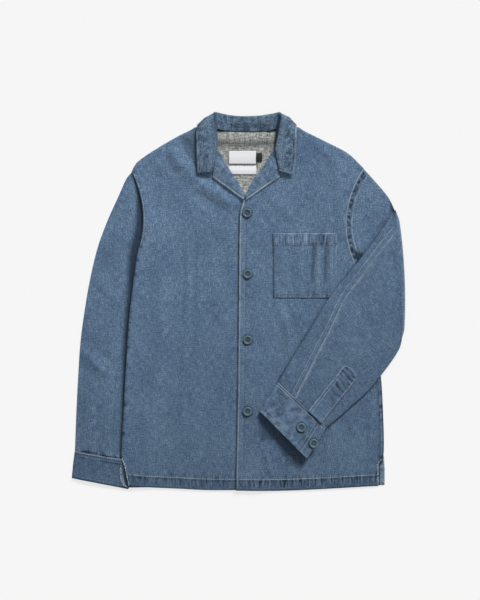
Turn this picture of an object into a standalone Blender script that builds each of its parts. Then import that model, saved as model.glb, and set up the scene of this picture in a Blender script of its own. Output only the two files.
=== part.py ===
"""Denim overshirt with a camp collar, laid flat on its back, left sleeve folded across the front.

Frame: metres, +Z up. The shirt lies on z = 0 with its back underneath, +Y runs from the hem
to the collar, and +X runs towards the wearer's left. The origin is the middle of the foot of
its box. "Right" and "left" in the names are the wearer's.

The tables hold millimetres. Every cloth piece is a middle surface, worked out from a few
outline points, which is then thickened into a closed wall. A piece that lies on others is
laid on them: each of its points is put just above what is underneath.
"""
import math

import bmesh
import bpy
from mathutils import Vector
from mathutils.bvhtree import BVHTree

MM = 0.001

# ---------------------------------------------------------------- driving sizes, mm
CLOTH = 1.2            # one layer of denim
DOUBLE = 2.2           # collar and lapels: two layers and an interlining
CUFF_WALL = 2.0
LABEL_WALL = 1.0
GAP = 0.4              # between two pieces that lie on each other
FLOOR_ROOM = 0.2       # least height of the collar's hidden fall over the floor
ARMHOLE_LAP = 2.5      # how far a front laps over its sleeve at the armhole seam
ROLL_ROOM = 2.6        # from a front's edge to the lapel's roll, which comes down beside it
LAPEL_REACH = 7        # how far round a point a lapel feels for what lies below it
LAPEL_LIFT = 0.6       # of a lapel over the front
LAPEL_ARCH = 1.4       # how far a lapel arches between its roll and its edge
LAPEL_ROLL = ((0.6, -2.6), (2.6, -1.4), (1.6, 0.7))   # outwards and upwards from the roll line
TIGHT_ROLL = 1.8       # least radius of the collar's roll that needs no opening
ROLL_OPENING = 3.5     # how much wider a tighter roll opens in the plan

BUTTON_RADIUS = 8.5
BUTTON_HEIGHT = 3.2
BUTTON_SIDES = 20
BUTTON_GAP = 0.3
BUTTON_PROFILE = (
    # share of the radius and of the height, from the foot round the rim into the dish
    (0.82, 0.0), (1.0, 0.35), (1.0, 0.75), (0.92, 1.0), (0.74, 1.0), (0.62, 0.66),
)

# Outlines in the plan, (x, y), from the hem or the outer end towards the neck
SHOULDER_RIGHT = [(-214, 258), (-207, 271), (-195, 283), (-157, 307), (-117, 331),
                  (-97, 339), (-77, 342), (-60, 345)]
SHOULDER_LEFT = [(253, 258), (239, 273), (213, 295), (173, 316), (129, 337),
                 (109, 342), (92, 345)]
SIDE_RIGHT = [(-234, -298), (-229, -198), (-221, -58), (-215, 2), (-205, 78), (-200, 104)]
SIDE_LEFT = [(291, -298), (290, -238), (285, -150), (271, -48), (255, 22), (240, 78)]
FRONT_VENT_RIGHT = [(-220, -369), (-227, -334), (-233, -316)]
FRONT_VENT_LEFT = [(280, -368), (280, -334), (288, -316)]
BACK_VENT_RIGHT = [(-225, -373), (-236, -364), (-239, -338), (-234, -316)]
BACK_VENT_LEFT = [(292, -367), (292, -338), (290, -316)]
HEM_RIGHT = [(-220, -369), (-177, -373), (-117, -376), (-57, -378), (34, -378)]
HEM_LEFT = [(280, -368), (243, -370), (183, -374), (123, -378), (63, -379), (-5, -379)]
HEM_BACK = [(-225, -373), (-117, -374), (0, -376), (123, -375), (292, -367)]
NECK_BACK = [(-60, 345), (-40, 339), (16, 337), (72, 339), (92, 345)]

# Front edges from the hem to the foot of the neck V, then the roll lines up to the shoulder
EDGE_RIGHT = [(34, -378), (34, -180), (34, 0), (34, 120), (32, 170), (23, 199)]
EDGE_LEFT = [(-5, -379), (-2, -238), (0, -98), (1, 2), (2, 122), (4, 178), (11, 201)]
ROLL_RIGHT = [(12, 212), (-5, 242), (-21, 268), (-42, 302)]
ROLL_LEFT = [(16, 211), (35, 246), (53, 268), (72, 302)]
NECK_RIGHT = [(-56, 316), (-61, 330), (-60, 345)]
NECK_LEFT = [(87, 316), (93, 330), (92, 345)]

# Armholes: shoulder end, underarm end, and how far the seam bows between them
ARMHOLE_RIGHT = ((-214, 258), (-200, 104), 16)
ARMHOLE_LEFT = ((253, 258), (240, 78), -27)

# Lapels: from the top of the roll line down the gorge seam to the notch, then the outer edge
GORGE_RIGHT = [(-42, 302), (-46, 280), (-50, 262), (-52, 248)]
LAPEL_EDGE_RIGHT = [(10.5, 206), (-8, 213), (-32, 231), (-52, 248)]
GORGE_LEFT = [(72, 302), (76, 280), (80, 262), (82, 248)]
LAPEL_EDGE_LEFT = [(15.5, 203.5), (35, 213), (60, 231), (82, 248)]

# Collar, one row for each station from the right leaf round the back of the neck to the left:
# seam end of the stand, roll line, heights of the stand and the fall there, middle of the
# fall, outer edge of the fall
COLLAR = (
    # seam x, y, z     roll x, y     stand, fall   middle x, y, z     edge x, y, z
    ((-59, 259, 7.4), (-53.5, 258.5), 7.4, 11.0, (-67, 257.5, 10.4), (-81, 256, 9.2)),
    ((-54, 281, 7.6), (-47.5, 280.5), 7.6, 12.2, (-64, 280, 12.0), (-82.5, 278, 10.2)),
    ((-44.5, 306, 7.0), (-43.5, 303), 8.2, 13.2, (-62, 303, 13.2), (-83, 301, 10.8)),
    ((-42.5, 320, 7.0), (-46.5, 324), 8.2, 13.6, (-64, 324, 13.4), (-83.5, 322, 11.2)),
    ((-42, 334, 7.0), (-49.5, 347), 8.2, 13.4, (-66, 344, 13.0), (-83.8, 341, 11.2)),
    ((-43.5, 340.5, 7.4), (-51, 366), 8.4, 12.2, (-68, 360, 10.4), (-84, 353, 7.0)),
    ((-42.5, 344, 7.7), (-49.5, 372.5), 8.8, 7.2, (-68, 364, 6.6), (-83, 352, 4.2)),
    ((-39.5, 345, 7.8), (-46.5, 377), 9.0, 3.0, (-66, 366, 3.2), (-81, 350, 1.6)),
    ((-31, 342.5, 7.2), (-35, 374.5), 8.8, 1.4, (-44, 352, 1.4), (-58, 326, 1.4)),
    ((-12, 341, 6.4), (-12, 370.5), 8.4, 1.4, (-14, 348, 1.4), (-20, 319, 1.4)),
    ((16, 340.5, 6.4), (16, 369), 8.4, 1.4, (16, 346, 1.4), (16, 317, 1.4)),
    ((44, 341, 6.4), (45, 370.5), 8.4, 1.4, (47, 348, 1.4), (53, 319, 1.4)),
    ((64, 342.5, 7.2), (69, 374.5), 8.8, 1.4, (78, 352, 1.4), (92, 326, 1.4)),
    ((72, 345, 7.8), (81.5, 377), 9.0, 3.0, (100, 366, 3.2), (114, 350, 1.6)),
    ((75, 344, 7.7), (83.5, 372.5), 8.8, 7.2, (101, 364, 6.6), (115, 352, 4.2)),
    ((76, 340.5, 7.4), (85.2, 365.5), 8.4, 12.2, (100, 360, 10.4), (115.5, 353, 7.0)),
    ((74.5, 334, 7.0), (81.5, 347), 8.2, 13.4, (98, 344, 13.0), (115.3, 341, 11.2)),
    ((73.5, 320, 7.0), (77.5, 324), 8.2, 13.6, (95, 324, 13.4), (115, 322, 11.2)),
    ((74.5, 306, 7.0), (73.5, 303), 8.2, 13.2, (93, 303, 13.2), (114.5, 301, 10.8)),
    ((84, 281, 7.6), (77.5, 280.5), 7.6, 12.2, (94, 279, 12.0), (113.5, 274, 10.2)),
    ((87, 261, 7.4), (81.5, 260.5), 7.4, 11.0, (94, 257, 10.4), (108, 252, 9.2)),
)

# Sleeves: one row for each ring, from the armhole to the cuff seam
SLEEVE_RIGHT = (
    # outer x, y     underarm x, y   bow
    ((-212, 257.6), (-166, 36), 10),
    ((-223, 244), (-164.5, 16), 7),
    ((-237, 214), (-163, -4), 4),
    ((-263, 158), (-161, -28), 1),
    ((-283, 102), (-160, -48), 0),
    ((-299, 32), (-160, -66), 0),
    ((-311, -42), (-162, -92), 0),
    ((-317, -94), (-166, -124), 0),
    ((-321, -158), (-174, -174), 0),
    ((-324, -218), (-186, -228), 0),
    ((-326, -268), (-201, -280), 0),
    ((-327, -300), (-213, -320), 0),
)
SLEEVE_PUFF = 4.6       # how much the free part of the right sleeve opens
PUFF_START = 4          # from the body's edge, mm
PUFF_WIDTH = 34         # over which the sleeve opens, mm
CUFF_RIGHT = (
    ((-327.1, -300.7), (-213.1, -320.7)),
    ((-330.5, -328), (-217, -348)),
    ((-333, -354), (-221, -376)),
)
CUFF_FLAT, CUFF_PUFF = 2.6, 1.8   # height between the right cuff's layers, and what opens it
SLEEVE_LEFT_UNDER = (
    # upper x, y     underarm x, y   bow
    ((253.4, 257.6), (240.2, 77.8), -27),
    ((271, 239), (257, 48), -18),
    ((287, 221), (275, 16), -10),
    ((300, 203), (293, -18), -2),
)
SLEEVE_FOLD = ((309.5, 183), (319.8, -72), 11)
FOLD_DRIFT = Vector((1.8, -6))          # how far the underarm edge moves on as it turns over
SLEEVE_LEFT_OVER = (
    # upper x, y     lower x, y   bow   lowest the under layer may lie, height between layers
    ((302, 168), (319.6, -86), 10, 8.8, 2.6),
    ((290, 146), (313.5, -98), 8, 8.0, 3.2),
    ((263, 108), (302, -120), 4, 7.4, 4.6),
    ((223, 58), (283, -150), 2, 7.0, 6.0),
    ((183, 8), (258, -180), 0, 7.0, 6.4),
    ((143, -58), (227, -208), 0, 6.4, 6.4),
    ((117, -100), (204, -229), 0, 6.8, 6.0),
    ((95, -137), (187, -243), 0, 7.6, 5.4),
    ((79.5, -163), (175, -253), 0, 8.4, 4.8),
)
CUFF_LEFT = (
    # upper x, y     lower x, y    lowest layer
    ((79.1, -163.5), (174.6, -253.5), 8.4),
    ((60, -193), (156, -284), 11.0),
    ((43, -219), (136, -313), 14.6),
)
CUFF_LAYER = 2.5        # height from one layer of the buttoned cuff to the next
OVERLAP_END = 0.87      # where the overlap ends, as a share of the cuff's width
UNDERLAP_END = 0.62
BEND_START = 0.07       # where the cuff's layers begin to bend round its edges
LIP = 2.6               # from the cuff's edge to where its bend is nearly flat, mm
FOLD_RADIUS = 4.6       # of the folded sleeve's middle
FLAT_LAYERS = 2.4       # height from one layer of a flat sleeve to the other

# Soft folds of the fronts: ends of the ridge, its half width and its height
FOLDS = (
    # x, y         x, y       half width, height
    ((-140, 300), (-4, 186), 24, 3.6),
    ((-196, 196), (-206, 60), 26, 4.2),
    ((-104, 120), (-116, -250), 34, 1.8),
    ((205, 250), (214, 120), 26, 1.8),
    ((120, -330), (104, -376), 26, 2.2),
    ((150, 330), (205, 262), 24, 2.2),
)

POCKET = (70, 196, 7, 136)              # left, right, bottom, top
POCKET_CELL, LABEL_CELL = 16, 9         # size of the grid's cells on the pocket and the labels
PLACKET_ROUTE = ((154, -230), (182, -193.5), (207, -162), (223, -141))
PLACKET_HALF_WIDTH = 18
PLACKET_NARROWING = (1.0,) * 8 + (0.9, 0.55)    # of its width, towards its rounded end
LABELS = (
    # name, left, right, bottom, top
    ("label_main", -19, 35, 275, 300),
    ("label_size", 36, 47, 279, 296),
    ("label_care", -20, 35, 254, 270),
)
FRONT_BUTTONS = ((17, 176), (18, 54), (18, -78), (18, -221))
CUFF_BUTTONS = ((125, -252), (150, -284))

COLOURS = {
    # name: base colour, roughness
    "denim": ((0.095, 0.155, 0.235), 0.9),
    "denim_reverse": ((0.30, 0.32, 0.33), 0.95),
    "button": ((0.035, 0.075, 0.095), 0.35),
    "label_white": ((0.78, 0.78, 0.76), 0.7),
    "label_black": ((0.012, 0.012, 0.014), 0.7),
}


# ---------------------------------------------------------------- curves and grids
def curve(points, steps):
    """A smooth curve through the points, with the same number of steps between each two."""
    knots = [Vector(p) for p in points]
    first = knots[0] * 2 - knots[1]
    last = knots[-1] * 2 - knots[-2]
    padded = [first] + knots + [last]
    line = [knots[0]]
    for i in range(1, len(padded) - 2):
        p0, p1, p2, p3 = padded[i - 1:i + 3]
        for step in range(1, steps + 1):
            t = step / steps
            line.append(0.5 * (2 * p1 + (p2 - p0) * t + (2 * p0 - 5 * p1 + 4 * p2 - p3) * t * t
                               + (3 * p1 - p0 - 3 * p2 + p3) * t ** 3))
    return line


def smooth(points, pieces):
    """A smooth curve through the points, cut into equal lengths; it gives pieces + 1 points."""
    return even(curve(points, 16), pieces)


def even(line, pieces):
    """The same polyline, cut into equal lengths."""
    lengths = [0.0]
    for a, b in zip(line, line[1:]):
        lengths.append(lengths[-1] + (b - a).length)
    result = []
    i = 0
    for k in range(pieces + 1):
        goal = lengths[-1] * k / pieces
        while i < len(line) - 2 and lengths[i + 1] < goal:
            i += 1
        span = lengths[i + 1] - lengths[i]
        result.append(line[i].lerp(line[i + 1], (goal - lengths[i]) / span))
    return result


def join(*curves):
    """Curves one after another, each starting where the last one ends."""
    line = list(curves[0])
    for curve in curves[1:]:
        line += curve[1:]
    return line


def bowed(start, end, bow, t):
    """A point of the seam from start to end that bows towards +X by bow at its middle."""
    point = Vector(start).lerp(Vector(end), t)
    point.x += bow * 4 * t * (1 - t)
    return point


def armhole(seam, pieces):
    """The armhole seam, from the underarm up to the shoulder."""
    top, foot, bow = seam
    return [bowed(foot, top, bow, k / pieces) for k in range(pieces + 1)]


def patch(foot, head, start, end):
    """Grid of plan points between four edges: foot and head run across, start and end up."""
    grid = []
    rows = len(start) - 1
    for r in range(rows + 1):
        v = r / rows
        row = []
        for c in range(len(foot)):
            u = c / (len(foot) - 1)
            across = start[r].lerp(end[r], u)
            up = foot[c].lerp(head[c], v)
            corners = (foot[0].lerp(foot[-1], u)).lerp(head[0].lerp(head[-1], u), v)
            row.append(across + up - corners)
        grid.append(row)
    return grid


def ease(t):
    """0 below 0, 1 above 1, and smooth between."""
    t = max(0.0, min(1.0, t))
    return t * t * (3 - 2 * t)


# ---------------------------------------------------------------- solids
def material(name):
    """The Principled material of one finish, made once."""
    found = bpy.data.materials.get(name)
    if found:
        return found
    colour, roughness = COLOURS[name]
    made = bpy.data.materials.new(name)
    made.use_nodes = True
    shader = made.node_tree.nodes["Principled BSDF"]
    shader.inputs["Base Color"].default_value = (*colour, 1)
    shader.inputs["Roughness"].default_value = roughness
    shader.inputs["Metallic"].default_value = 0.0
    return made


def add_object(name, points, faces, finish):
    """A mesh object from points in millimetres, its faces turned outwards."""
    mesh = bpy.data.meshes.new(name)
    mesh.from_pydata([p * MM for p in points], [], faces)
    body = bmesh.new()
    body.from_mesh(mesh)
    bmesh.ops.recalc_face_normals(body, faces=body.faces)
    bmesh.ops.triangulate(body, faces=body.faces)
    body.to_mesh(mesh)
    body.free()
    mesh.materials.append(material(finish))
    mesh.shade_smooth()
    mesh.set_sharp_from_angle(angle=math.radians(40))
    placed = bpy.data.objects.new(name, mesh)
    bpy.context.scene.collection.objects.link(placed)
    return placed


def grid_normals(grid, closed):
    """The unit normal of the middle surface at each point of the grid."""
    rows, columns = len(grid), len(grid[0])
    normals = []
    for r in range(rows):
        row = []
        for c in range(columns):
            total = Vector((0, 0, 0))
            for dr, dc in ((1, 1), (1, -1), (-1, -1), (-1, 1)):
                rr, cc = r + dr, c + dc
                if closed:
                    cc %= columns
                if not (0 <= rr < rows and 0 <= cc < columns):
                    continue
                up = grid[rr][c] - grid[r][c]
                across = grid[r][cc] - grid[r][c]
                total += across.cross(up).normalized() * (dr * dc)
            row.append(total.normalized())
        normals.append(row)
    return normals


def wall(name, grid, thickness, finish, closed=False):
    """A closed wall of even thickness round a middle surface.

    The grid's columns run on into each other if closed is true, as round a sleeve.
    """
    rows, columns = len(grid), len(grid[0])
    normals = grid_normals(grid, closed)
    points = []
    for side in (0.5, -0.5):
        for r in range(rows):
            for c in range(columns):
                points.append(grid[r][c] + normals[r][c] * (thickness * side))
    half = rows * columns

    def at(r, c, side):
        return side * half + r * columns + c % columns

    faces = []
    spans = columns if closed else columns - 1
    for r in range(rows - 1):
        for c in range(spans):
            faces.append((at(r, c, 0), at(r, c + 1, 0), at(r + 1, c + 1, 0), at(r + 1, c, 0)))
            faces.append((at(r, c, 1), at(r + 1, c, 1), at(r + 1, c + 1, 1), at(r, c + 1, 1)))
    for r in (0, rows - 1):
        for c in range(spans):
            faces.append((at(r, c, 0), at(r, c + 1, 0), at(r, c + 1, 1), at(r, c, 1)))
    if not closed:
        for c in (0, columns - 1):
            for r in range(rows - 1):
                faces.append((at(r, c, 0), at(r + 1, c, 0), at(r + 1, c, 1), at(r, c, 1)))
    return add_object(name, points, faces, finish)


class Below:
    """What lies underneath a piece that is laid on others."""

    def __init__(self, pieces, ceiling=60.0):
        self.trees = []
        self.ceiling = ceiling
        for piece in pieces:
            points = [v.co / MM for v in piece.data.vertices]
            faces = [tuple(f.vertices) for f in piece.data.polygons]
            self.trees.append(BVHTree.FromPolygons(points, faces))

    def top(self, x, y):
        """The height of the highest surface under the ceiling at a plan point."""
        highest = 0.0
        for tree in self.trees:
            hit = tree.ray_cast(Vector((x, y, self.ceiling)), Vector((0, 0, -1)))[0]
            if hit:
                highest = max(highest, hit.z)
        return highest

    def reach(self, x, y, radius):
        """The highest surface within a radius of a plan point."""
        spots = [(x, y)]
        for share in (0.5, 1.0):
            for k in range(8):
                turn = math.tau * k / 8
                spots.append((x + radius * share * math.cos(turn),
                              y + radius * share * math.sin(turn)))
        return max(self.top(*spot) for spot in spots)


def lay(plan, below, thickness, radius, extra=None, passes=6):
    """Lift a plan grid just above what is below it, with the cloth drawn smooth between."""
    needed = []
    for row in plan:
        line = []
        for p in row:
            height = max(b.reach(p.x, p.y, radius) for b in below) + GAP + thickness / 2
            line.append(height)
        needed.append(line)
    heights = [list(line) for line in needed]
    rows, columns = len(plan), len(plan[0])
    for _ in range(passes):
        before = [list(line) for line in heights]
        for r in range(rows):
            for c in range(columns):
                beside = ((r - 1, c), (r + 1, c), (r, c - 1), (r, c + 1))
                near = [before[rr][cc] for rr, cc in beside if 0 <= rr < rows and 0 <= cc < columns]
                heights[r][c] = max(needed[r][c], sum(near) / len(near))
    laid = []
    for r in range(rows):
        laid.append([])
        for c in range(columns):
            p = plan[r][c]
            more = extra(p.x, p.y) if extra else 0.0
            laid[r].append(Vector((p.x, p.y, heights[r][c] + more)))
    return laid


def fold_height(x, y):
    """Height that the soft folds add to the fronts at a plan point."""
    total = 0.0
    point = Vector((x, y))
    for start, end, half_width, height in FOLDS:
        start, end = Vector(start), Vector(end)
        along = (point - start).dot(end - start) / (end - start).length_squared
        nearest = start.lerp(end, max(0.0, min(1.0, along)))
        away = (point - nearest).length / half_width
        if away < 1:
            total += height * (1 - ease(away))
    return total


# ---------------------------------------------------------------- sleeves and cuffs
EDGE_STEPS = (0.0, 1.2, 3.2)     # from the edge of a flattened tube, mm
EDGE_RISE = (0.0, 0.75, 1.0)     # share of the half height between the layers there
INNER_STEPS = 8


def inward_normals(rows):
    """For each ring, from its start and end, the plan directions from the tube's two edges inwards."""
    across = Vector((0, 0))
    for start, end in rows:
        across += Vector(end) - Vector(start)
    found = []
    for k in range(len(rows)):
        before, after = rows[max(k - 1, 0)], rows[min(k + 1, len(rows) - 1)]
        pair = []
        for side, sense in ((0, 1), (1, -1)):
            edge = (Vector(after[side]) - Vector(before[side])).normalized()
            normal = Vector((-edge.y, edge.x))
            if normal.dot(across) * sense < 0:
                normal.negate()
            pair.append(normal)
        found.append(pair)
    return found


def flat_ring(start, end, bow, middle, normal, spread, inward=None):
    """One ring of a flattened tube.

    middle and normal give, for a share of the width, the height of the ring's middle and the
    direction from the under layer to the upper one; spread gives the distance between them.
    inward holds the directions in which the first points leave the tube's two edges.
    """
    start, end = Vector(start), Vector(end)
    length = (end - start).length
    along = (end - start) / length
    leave_start, leave_end = inward or (along, -along)
    rising = list(zip(EDGE_STEPS, EDGE_RISE))
    stations = [(s / length, start + leave_start * s, rise) for s, rise in rising]
    first = EDGE_STEPS[-1] / length
    for k in range(1, INNER_STEPS):
        t = first + (1 - 2 * first) * k / INNER_STEPS
        stations.append((t, bowed(start, end, bow, t), 1.0))
    stations += [(1 - s / length, end + leave_end * s, rise) for s, rise in reversed(rising)]
    upper, under = [], []
    for t, plan, rise in stations:
        centre = middle(t, plan)
        lift = normal(t) * (spread(t, plan) * 0.5 * rise)
        upper.append(centre + lift)
        under.append(centre - lift)
    return upper + under[-2:0:-1]


def refine(table, count):
    """Rings evenly spread along a sleeve: each column of the table, made smooth."""
    flat = []
    for row in table:
        numbers = []
        for value in row:
            numbers += value if isinstance(value, tuple) else (value,)
        flat.append(Vector(numbers))
    return smooth(flat, count)


def body_edge(y):
    """X of the body's right side edge, over which the right sleeve is tucked under."""
    line = smooth(SIDE_RIGHT, 24) + armhole(ARMHOLE_RIGHT, 10)[1:]
    for a, b in zip(line, line[1:]):
        if a.y <= y <= b.y:
            return a.x + (b.x - a.x) * (y - a.y) / (b.y - a.y)
    return line[0].x if y < line[0].y else line[-1].x


def make_sleeve_right():
    """The right sleeve: flat under the body, a little rounded where it lies free."""
    rings = []
    rows = refine(SLEEVE_RIGHT, 18)
    inwards = inward_normals([(row[0:2], row[2:4]) for row in rows])
    for row, inward in zip(rows, inwards):
        start, end, bow = row[0:2], row[2:4], row[4]

        def spread(t, plan):
            outside = body_edge(plan.y) - PUFF_START - plan.x
            return FLAT_LAYERS + SLEEVE_PUFF * ease(outside / PUFF_WIDTH) * ease(t * 4)

        def middle(t, plan):
            return Vector((plan.x, plan.y, CLOTH / 2 + spread(t, plan) / 2))

        rings.append(flat_ring(start, end, bow, middle, lambda t: Vector((0, 0, 1)), spread, inward))
    return wall("sleeve_right", rings, CLOTH, "denim", closed=True)


def make_cuff_right():
    """The right cuff, a flat band whose inner end lies under the hem's corner."""
    rings = []
    for start, end in CUFF_RIGHT:

        def spread(t, plan):
            return CUFF_FLAT + CUFF_PUFF * ease((0.8 - t) * 4) * ease(t * 6)

        def middle(t, plan):
            return Vector((plan.x, plan.y, CUFF_WALL / 2 + spread(t, plan) / 2))

        rings.append(flat_ring(start, end, 0, middle, lambda t: Vector((0, 0, 1)), spread))
    return wall("cuff_right", rings, CUFF_WALL, "denim", closed=True)


def sleeve_left_under():
    """The rings of the left sleeve that lie flat, from the armhole to the fold."""
    ground = CLOTH / 2 + FLAT_LAYERS / 2
    rings = []
    inwards = inward_normals([row[:2] for row in SLEEVE_LEFT_UNDER])
    for (start, end, bow), inward in zip(SLEEVE_LEFT_UNDER, inwards):
        rings.append(flat_ring(start, end, bow,
                               lambda t, plan: Vector((plan.x, plan.y, ground)),
                               lambda t: Vector((0, 0, 1)), lambda t, plan: FLAT_LAYERS, inward))
    return rings


def make_sleeve_left(below):
    """The left sleeve: out from the armhole, up round the fold, and back over the front."""
    rings = sleeve_left_under()
    ground = CLOTH / 2 + FLAT_LAYERS / 2
    turns = 6
    for k in range(turns + 1):
        start, end, bow = SLEEVE_FOLD
        end = Vector(end) + FOLD_DRIFT * (k / turns)
        turn = math.pi * k / turns
        out, up = math.sin(turn), math.cos(turn)

        def middle(t, plan):
            return Vector((plan.x + FOLD_RADIUS * out, plan.y, ground + FOLD_RADIUS * (1 - up)))

        rings.append(flat_ring(start, end, bow, middle, lambda t: Vector((-out, 0, up)),
                               lambda t, plan: FLAT_LAYERS))
    inwards = inward_normals([row[:2] for row in SLEEVE_LEFT_OVER])
    for (start, end, bow, lowest, height), inward in zip(SLEEVE_LEFT_OVER, inwards):

        def spread(t, plan):
            return height * (0.6 + 0.4 * ease(3 * t) * ease(3 * (1 - t)))

        def under(t, plan):
            rest = below.reach(plan.x, plan.y, 12) + GAP + CLOTH / 2
            return max(lowest, rest)

        def middle(t, plan):
            return Vector((plan.x, plan.y, under(t, plan) + spread(t, plan) / 2))

        rings.append(flat_ring(start, end, bow, middle, lambda t: Vector((0, 0, -1)), spread, inward))
    return wall("sleeve_left", rings, CLOTH, "denim", closed=True)


def run(first, last, height, pieces):
    """Evenly spaced stations (share of the width, height) of one flat layer of the cuff."""
    return [(first + (last - first) * k / pieces, height) for k in range(pieces + 1)]


def make_cuff_left():
    """The left cuff: a strip wrapped round into a flat band, its overlap buttoned on top."""
    rows = []
    for start, end, low in CUFF_LEFT:
        start, end = Vector(start), Vector(end)
        middle_layer = low + CUFF_LAYER
        top = low + 2 * CUFF_LAYER
        lip = LIP / (end - start).length
        path = run(OVERLAP_END, BEND_START, top, 6)
        path += [(lip, top - 0.5), (0.0, middle_layer), (lip, low + 0.5)]
        path += run(BEND_START, 1 - BEND_START, low, 6)
        path += [(1 - lip * 0.7, low + 0.1), (1.0, (low + middle_layer) / 2),
                 (1 - lip * 0.7, middle_layer - 0.1)]
        path += run(1 - BEND_START, UNDERLAP_END, middle_layer, 2)
        row = []
        for t, z in path:
            plan = start.lerp(end, t)
            row.append(Vector((plan.x, plan.y, z)))
        rows.append(row)
    return wall("cuff_left", rows, CUFF_WALL, "denim")


# ---------------------------------------------------------------- collar and lapels
def collar_section(seam, roll, stand, fall, middle, edge):
    """The points of one station of the collar, from the seam over the roll to the edge."""
    seam, middle, edge = Vector(seam), Vector(middle), Vector(edge)
    apex = Vector((*roll, (stand + fall) / 2))
    radius = abs(fall - stand) / 2
    radius += max(0.0, TIGHT_ROLL - radius) * ROLL_OPENING
    to_seam, to_middle = seam.xy - apex.xy, middle.xy - apex.xy
    inward = to_seam.normalized() * min(radius, to_seam.length * 0.6)
    outward = to_middle.normalized() * radius
    low = Vector((*(apex.xy + inward), stand))
    high = Vector((*(apex.xy + outward), fall))
    rounding = (apex - low.lerp(high, 0.5)) * 0.2
    roll_in = low.lerp(apex, 0.5) + rounding
    roll_out = high.lerp(apex, 0.5) + rounding
    return [seam, seam.lerp(low, 0.5), low, roll_in, apex, roll_out,
            high, high.lerp(middle, 0.6), middle, middle.lerp(edge, 0.55), edge]


def make_collar():
    """The collar: stand, roll and fall, lofted through the stations round the neck."""
    sections = [collar_section(*station) for station in COLLAR]
    columns = [curve([section[c] for section in sections], 2) for c in range(len(sections[0]))]
    for column in columns:
        for p in column:
            p.z = max(p.z, DOUBLE / 2 + FLOOR_ROOM)
    grid = [list(station) for station in zip(*columns)]
    return wall("collar", grid, DOUBLE, "denim")


def make_lapel(name, roll, edge, gorge, inward, below):
    """A facing turned out over the front: it rolls at the roll line and lies on the front."""
    steps = 9
    across = 5
    start = smooth(roll, steps)
    end = smooth(edge, steps)
    plan = patch(even([start[0], end[0]], across), smooth(gorge, across), start, end)
    lifted = lay(plan, [below], DOUBLE, LAPEL_REACH, extra=lambda x, y: LAPEL_LIFT, passes=3)
    grid = []
    for r, row in enumerate(lifted):
        share = r / steps
        turned = inward * min(1, 0.2 + share * 3)
        points = [row[0] + Vector((turned * out, 0, rise)) for out, rise in LAPEL_ROLL]
        for k, p in enumerate(row[1:], 1):
            arch = LAPEL_ARCH * math.sin(math.pi * k / across) * (0.4 + share)
            points.append(p + Vector((0, 0, arch)))
        grid.append(points)
    return wall(name, grid, DOUBLE, "denim")


# ---------------------------------------------------------------- panels
ROWS_LOW, ROWS_HIGH = 16, 7     # rows of a panel below and above the underarm
BACK_REACH, FRONT_REACH = 18, 12   # how far round a point a panel feels for what lies below it
BACK_INSET = 1.5                # of the back's side edges from the fronts'
ON_THE_FLOOR = 0.05             # where nothing lifts the back more than this, it rests flat


def side_line(vent, side, hole, inset):
    """The outer edge of a panel, from the hem up to the shoulder."""
    line = join(smooth(vent, 2), smooth([vent[-1]] + side, ROWS_LOW - 2), armhole(hole, ROWS_HIGH))
    return [Vector((p.x + inset, p.y)) for p in line]


def make_back(below):
    """The back panel, from the hem to the shoulders, hollowed at the neck."""
    start = side_line(BACK_VENT_RIGHT, SIDE_RIGHT, ARMHOLE_RIGHT, BACK_INSET)
    end = side_line(BACK_VENT_LEFT, SIDE_LEFT, ARMHOLE_LEFT, -BACK_INSET)
    head = join(smooth(SHOULDER_RIGHT, 6), smooth(NECK_BACK, 7), smooth(SHOULDER_LEFT[::-1], 6))
    head[0], head[-1] = start[-1], end[-1]
    foot = smooth([start[0]] + HEM_BACK[1:-1] + [end[0]], len(head) - 1)
    grid = lay(patch(foot, head, start, end), below, CLOTH, BACK_REACH)
    for row in grid:
        for p in row:
            if p.z < CLOTH / 2 + GAP + ON_THE_FLOOR:
                p.z = CLOTH / 2
    return wall("back_panel", grid, CLOTH, "denim_reverse")


def make_front(name, vent, side, hole, hem, edge, roll, neck, shoulder, inward, below):
    """A front panel: side seam and armhole outside, front edge and roll line inside."""
    rows = ROWS_LOW + ROWS_HIGH
    start = side_line(vent, side, hole, 0.0)
    for k in range(1, ROWS_HIGH):
        start[ROWS_LOW + k].x -= inward * ARMHOLE_LAP * math.sin(math.pi * k / ROWS_HIGH)
    roll = [(x - inward * ROLL_ROOM, y) for x, y in roll]
    inner = join(smooth(edge, 17), smooth([edge[-1]] + roll, 4), smooth([roll[-1]] + neck, rows - 21))
    foot = smooth(hem, 13)
    head = smooth(shoulder, 13)
    head[0] = start[-1]
    grid = lay(patch(foot, head, start, inner), below, CLOTH, FRONT_REACH, extra=fold_height)
    return wall(name, grid, CLOTH, "denim")


def make_rectangle(name, left, right, bottom, top, thickness, finish, below, cell):
    """A patch sewn or laid on a panel."""
    columns = max(2, round((right - left) / cell))
    rows = max(2, round((top - bottom) / cell))
    plan = []
    for r in range(rows + 1):
        y = bottom + (top - bottom) * r / rows
        plan.append([Vector((left + (right - left) * c / columns, y)) for c in range(columns + 1)])
    grid = lay(plan, [below], thickness, cell * 0.6, passes=1)
    return wall(name, grid, thickness, finish)


def make_placket(below):
    """The strip over the sleeve slit, with a rounded upper end."""
    middle = smooth(PLACKET_ROUTE, 9)
    plan = []
    for k, p in enumerate(middle):
        along = (middle[min(k + 1, 9)] - middle[max(k - 1, 0)]).normalized()
        aside = Vector((-along.y, along.x))
        width = PLACKET_HALF_WIDTH * PLACKET_NARROWING[k]
        plan.append([p + aside * (width * share) for share in (1, 0.33, -0.33, -1)])
    grid = lay(plan, [below], CLOTH, 7, passes=1)
    return wall("sleeve_placket", grid, CLOTH, "denim")


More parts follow.
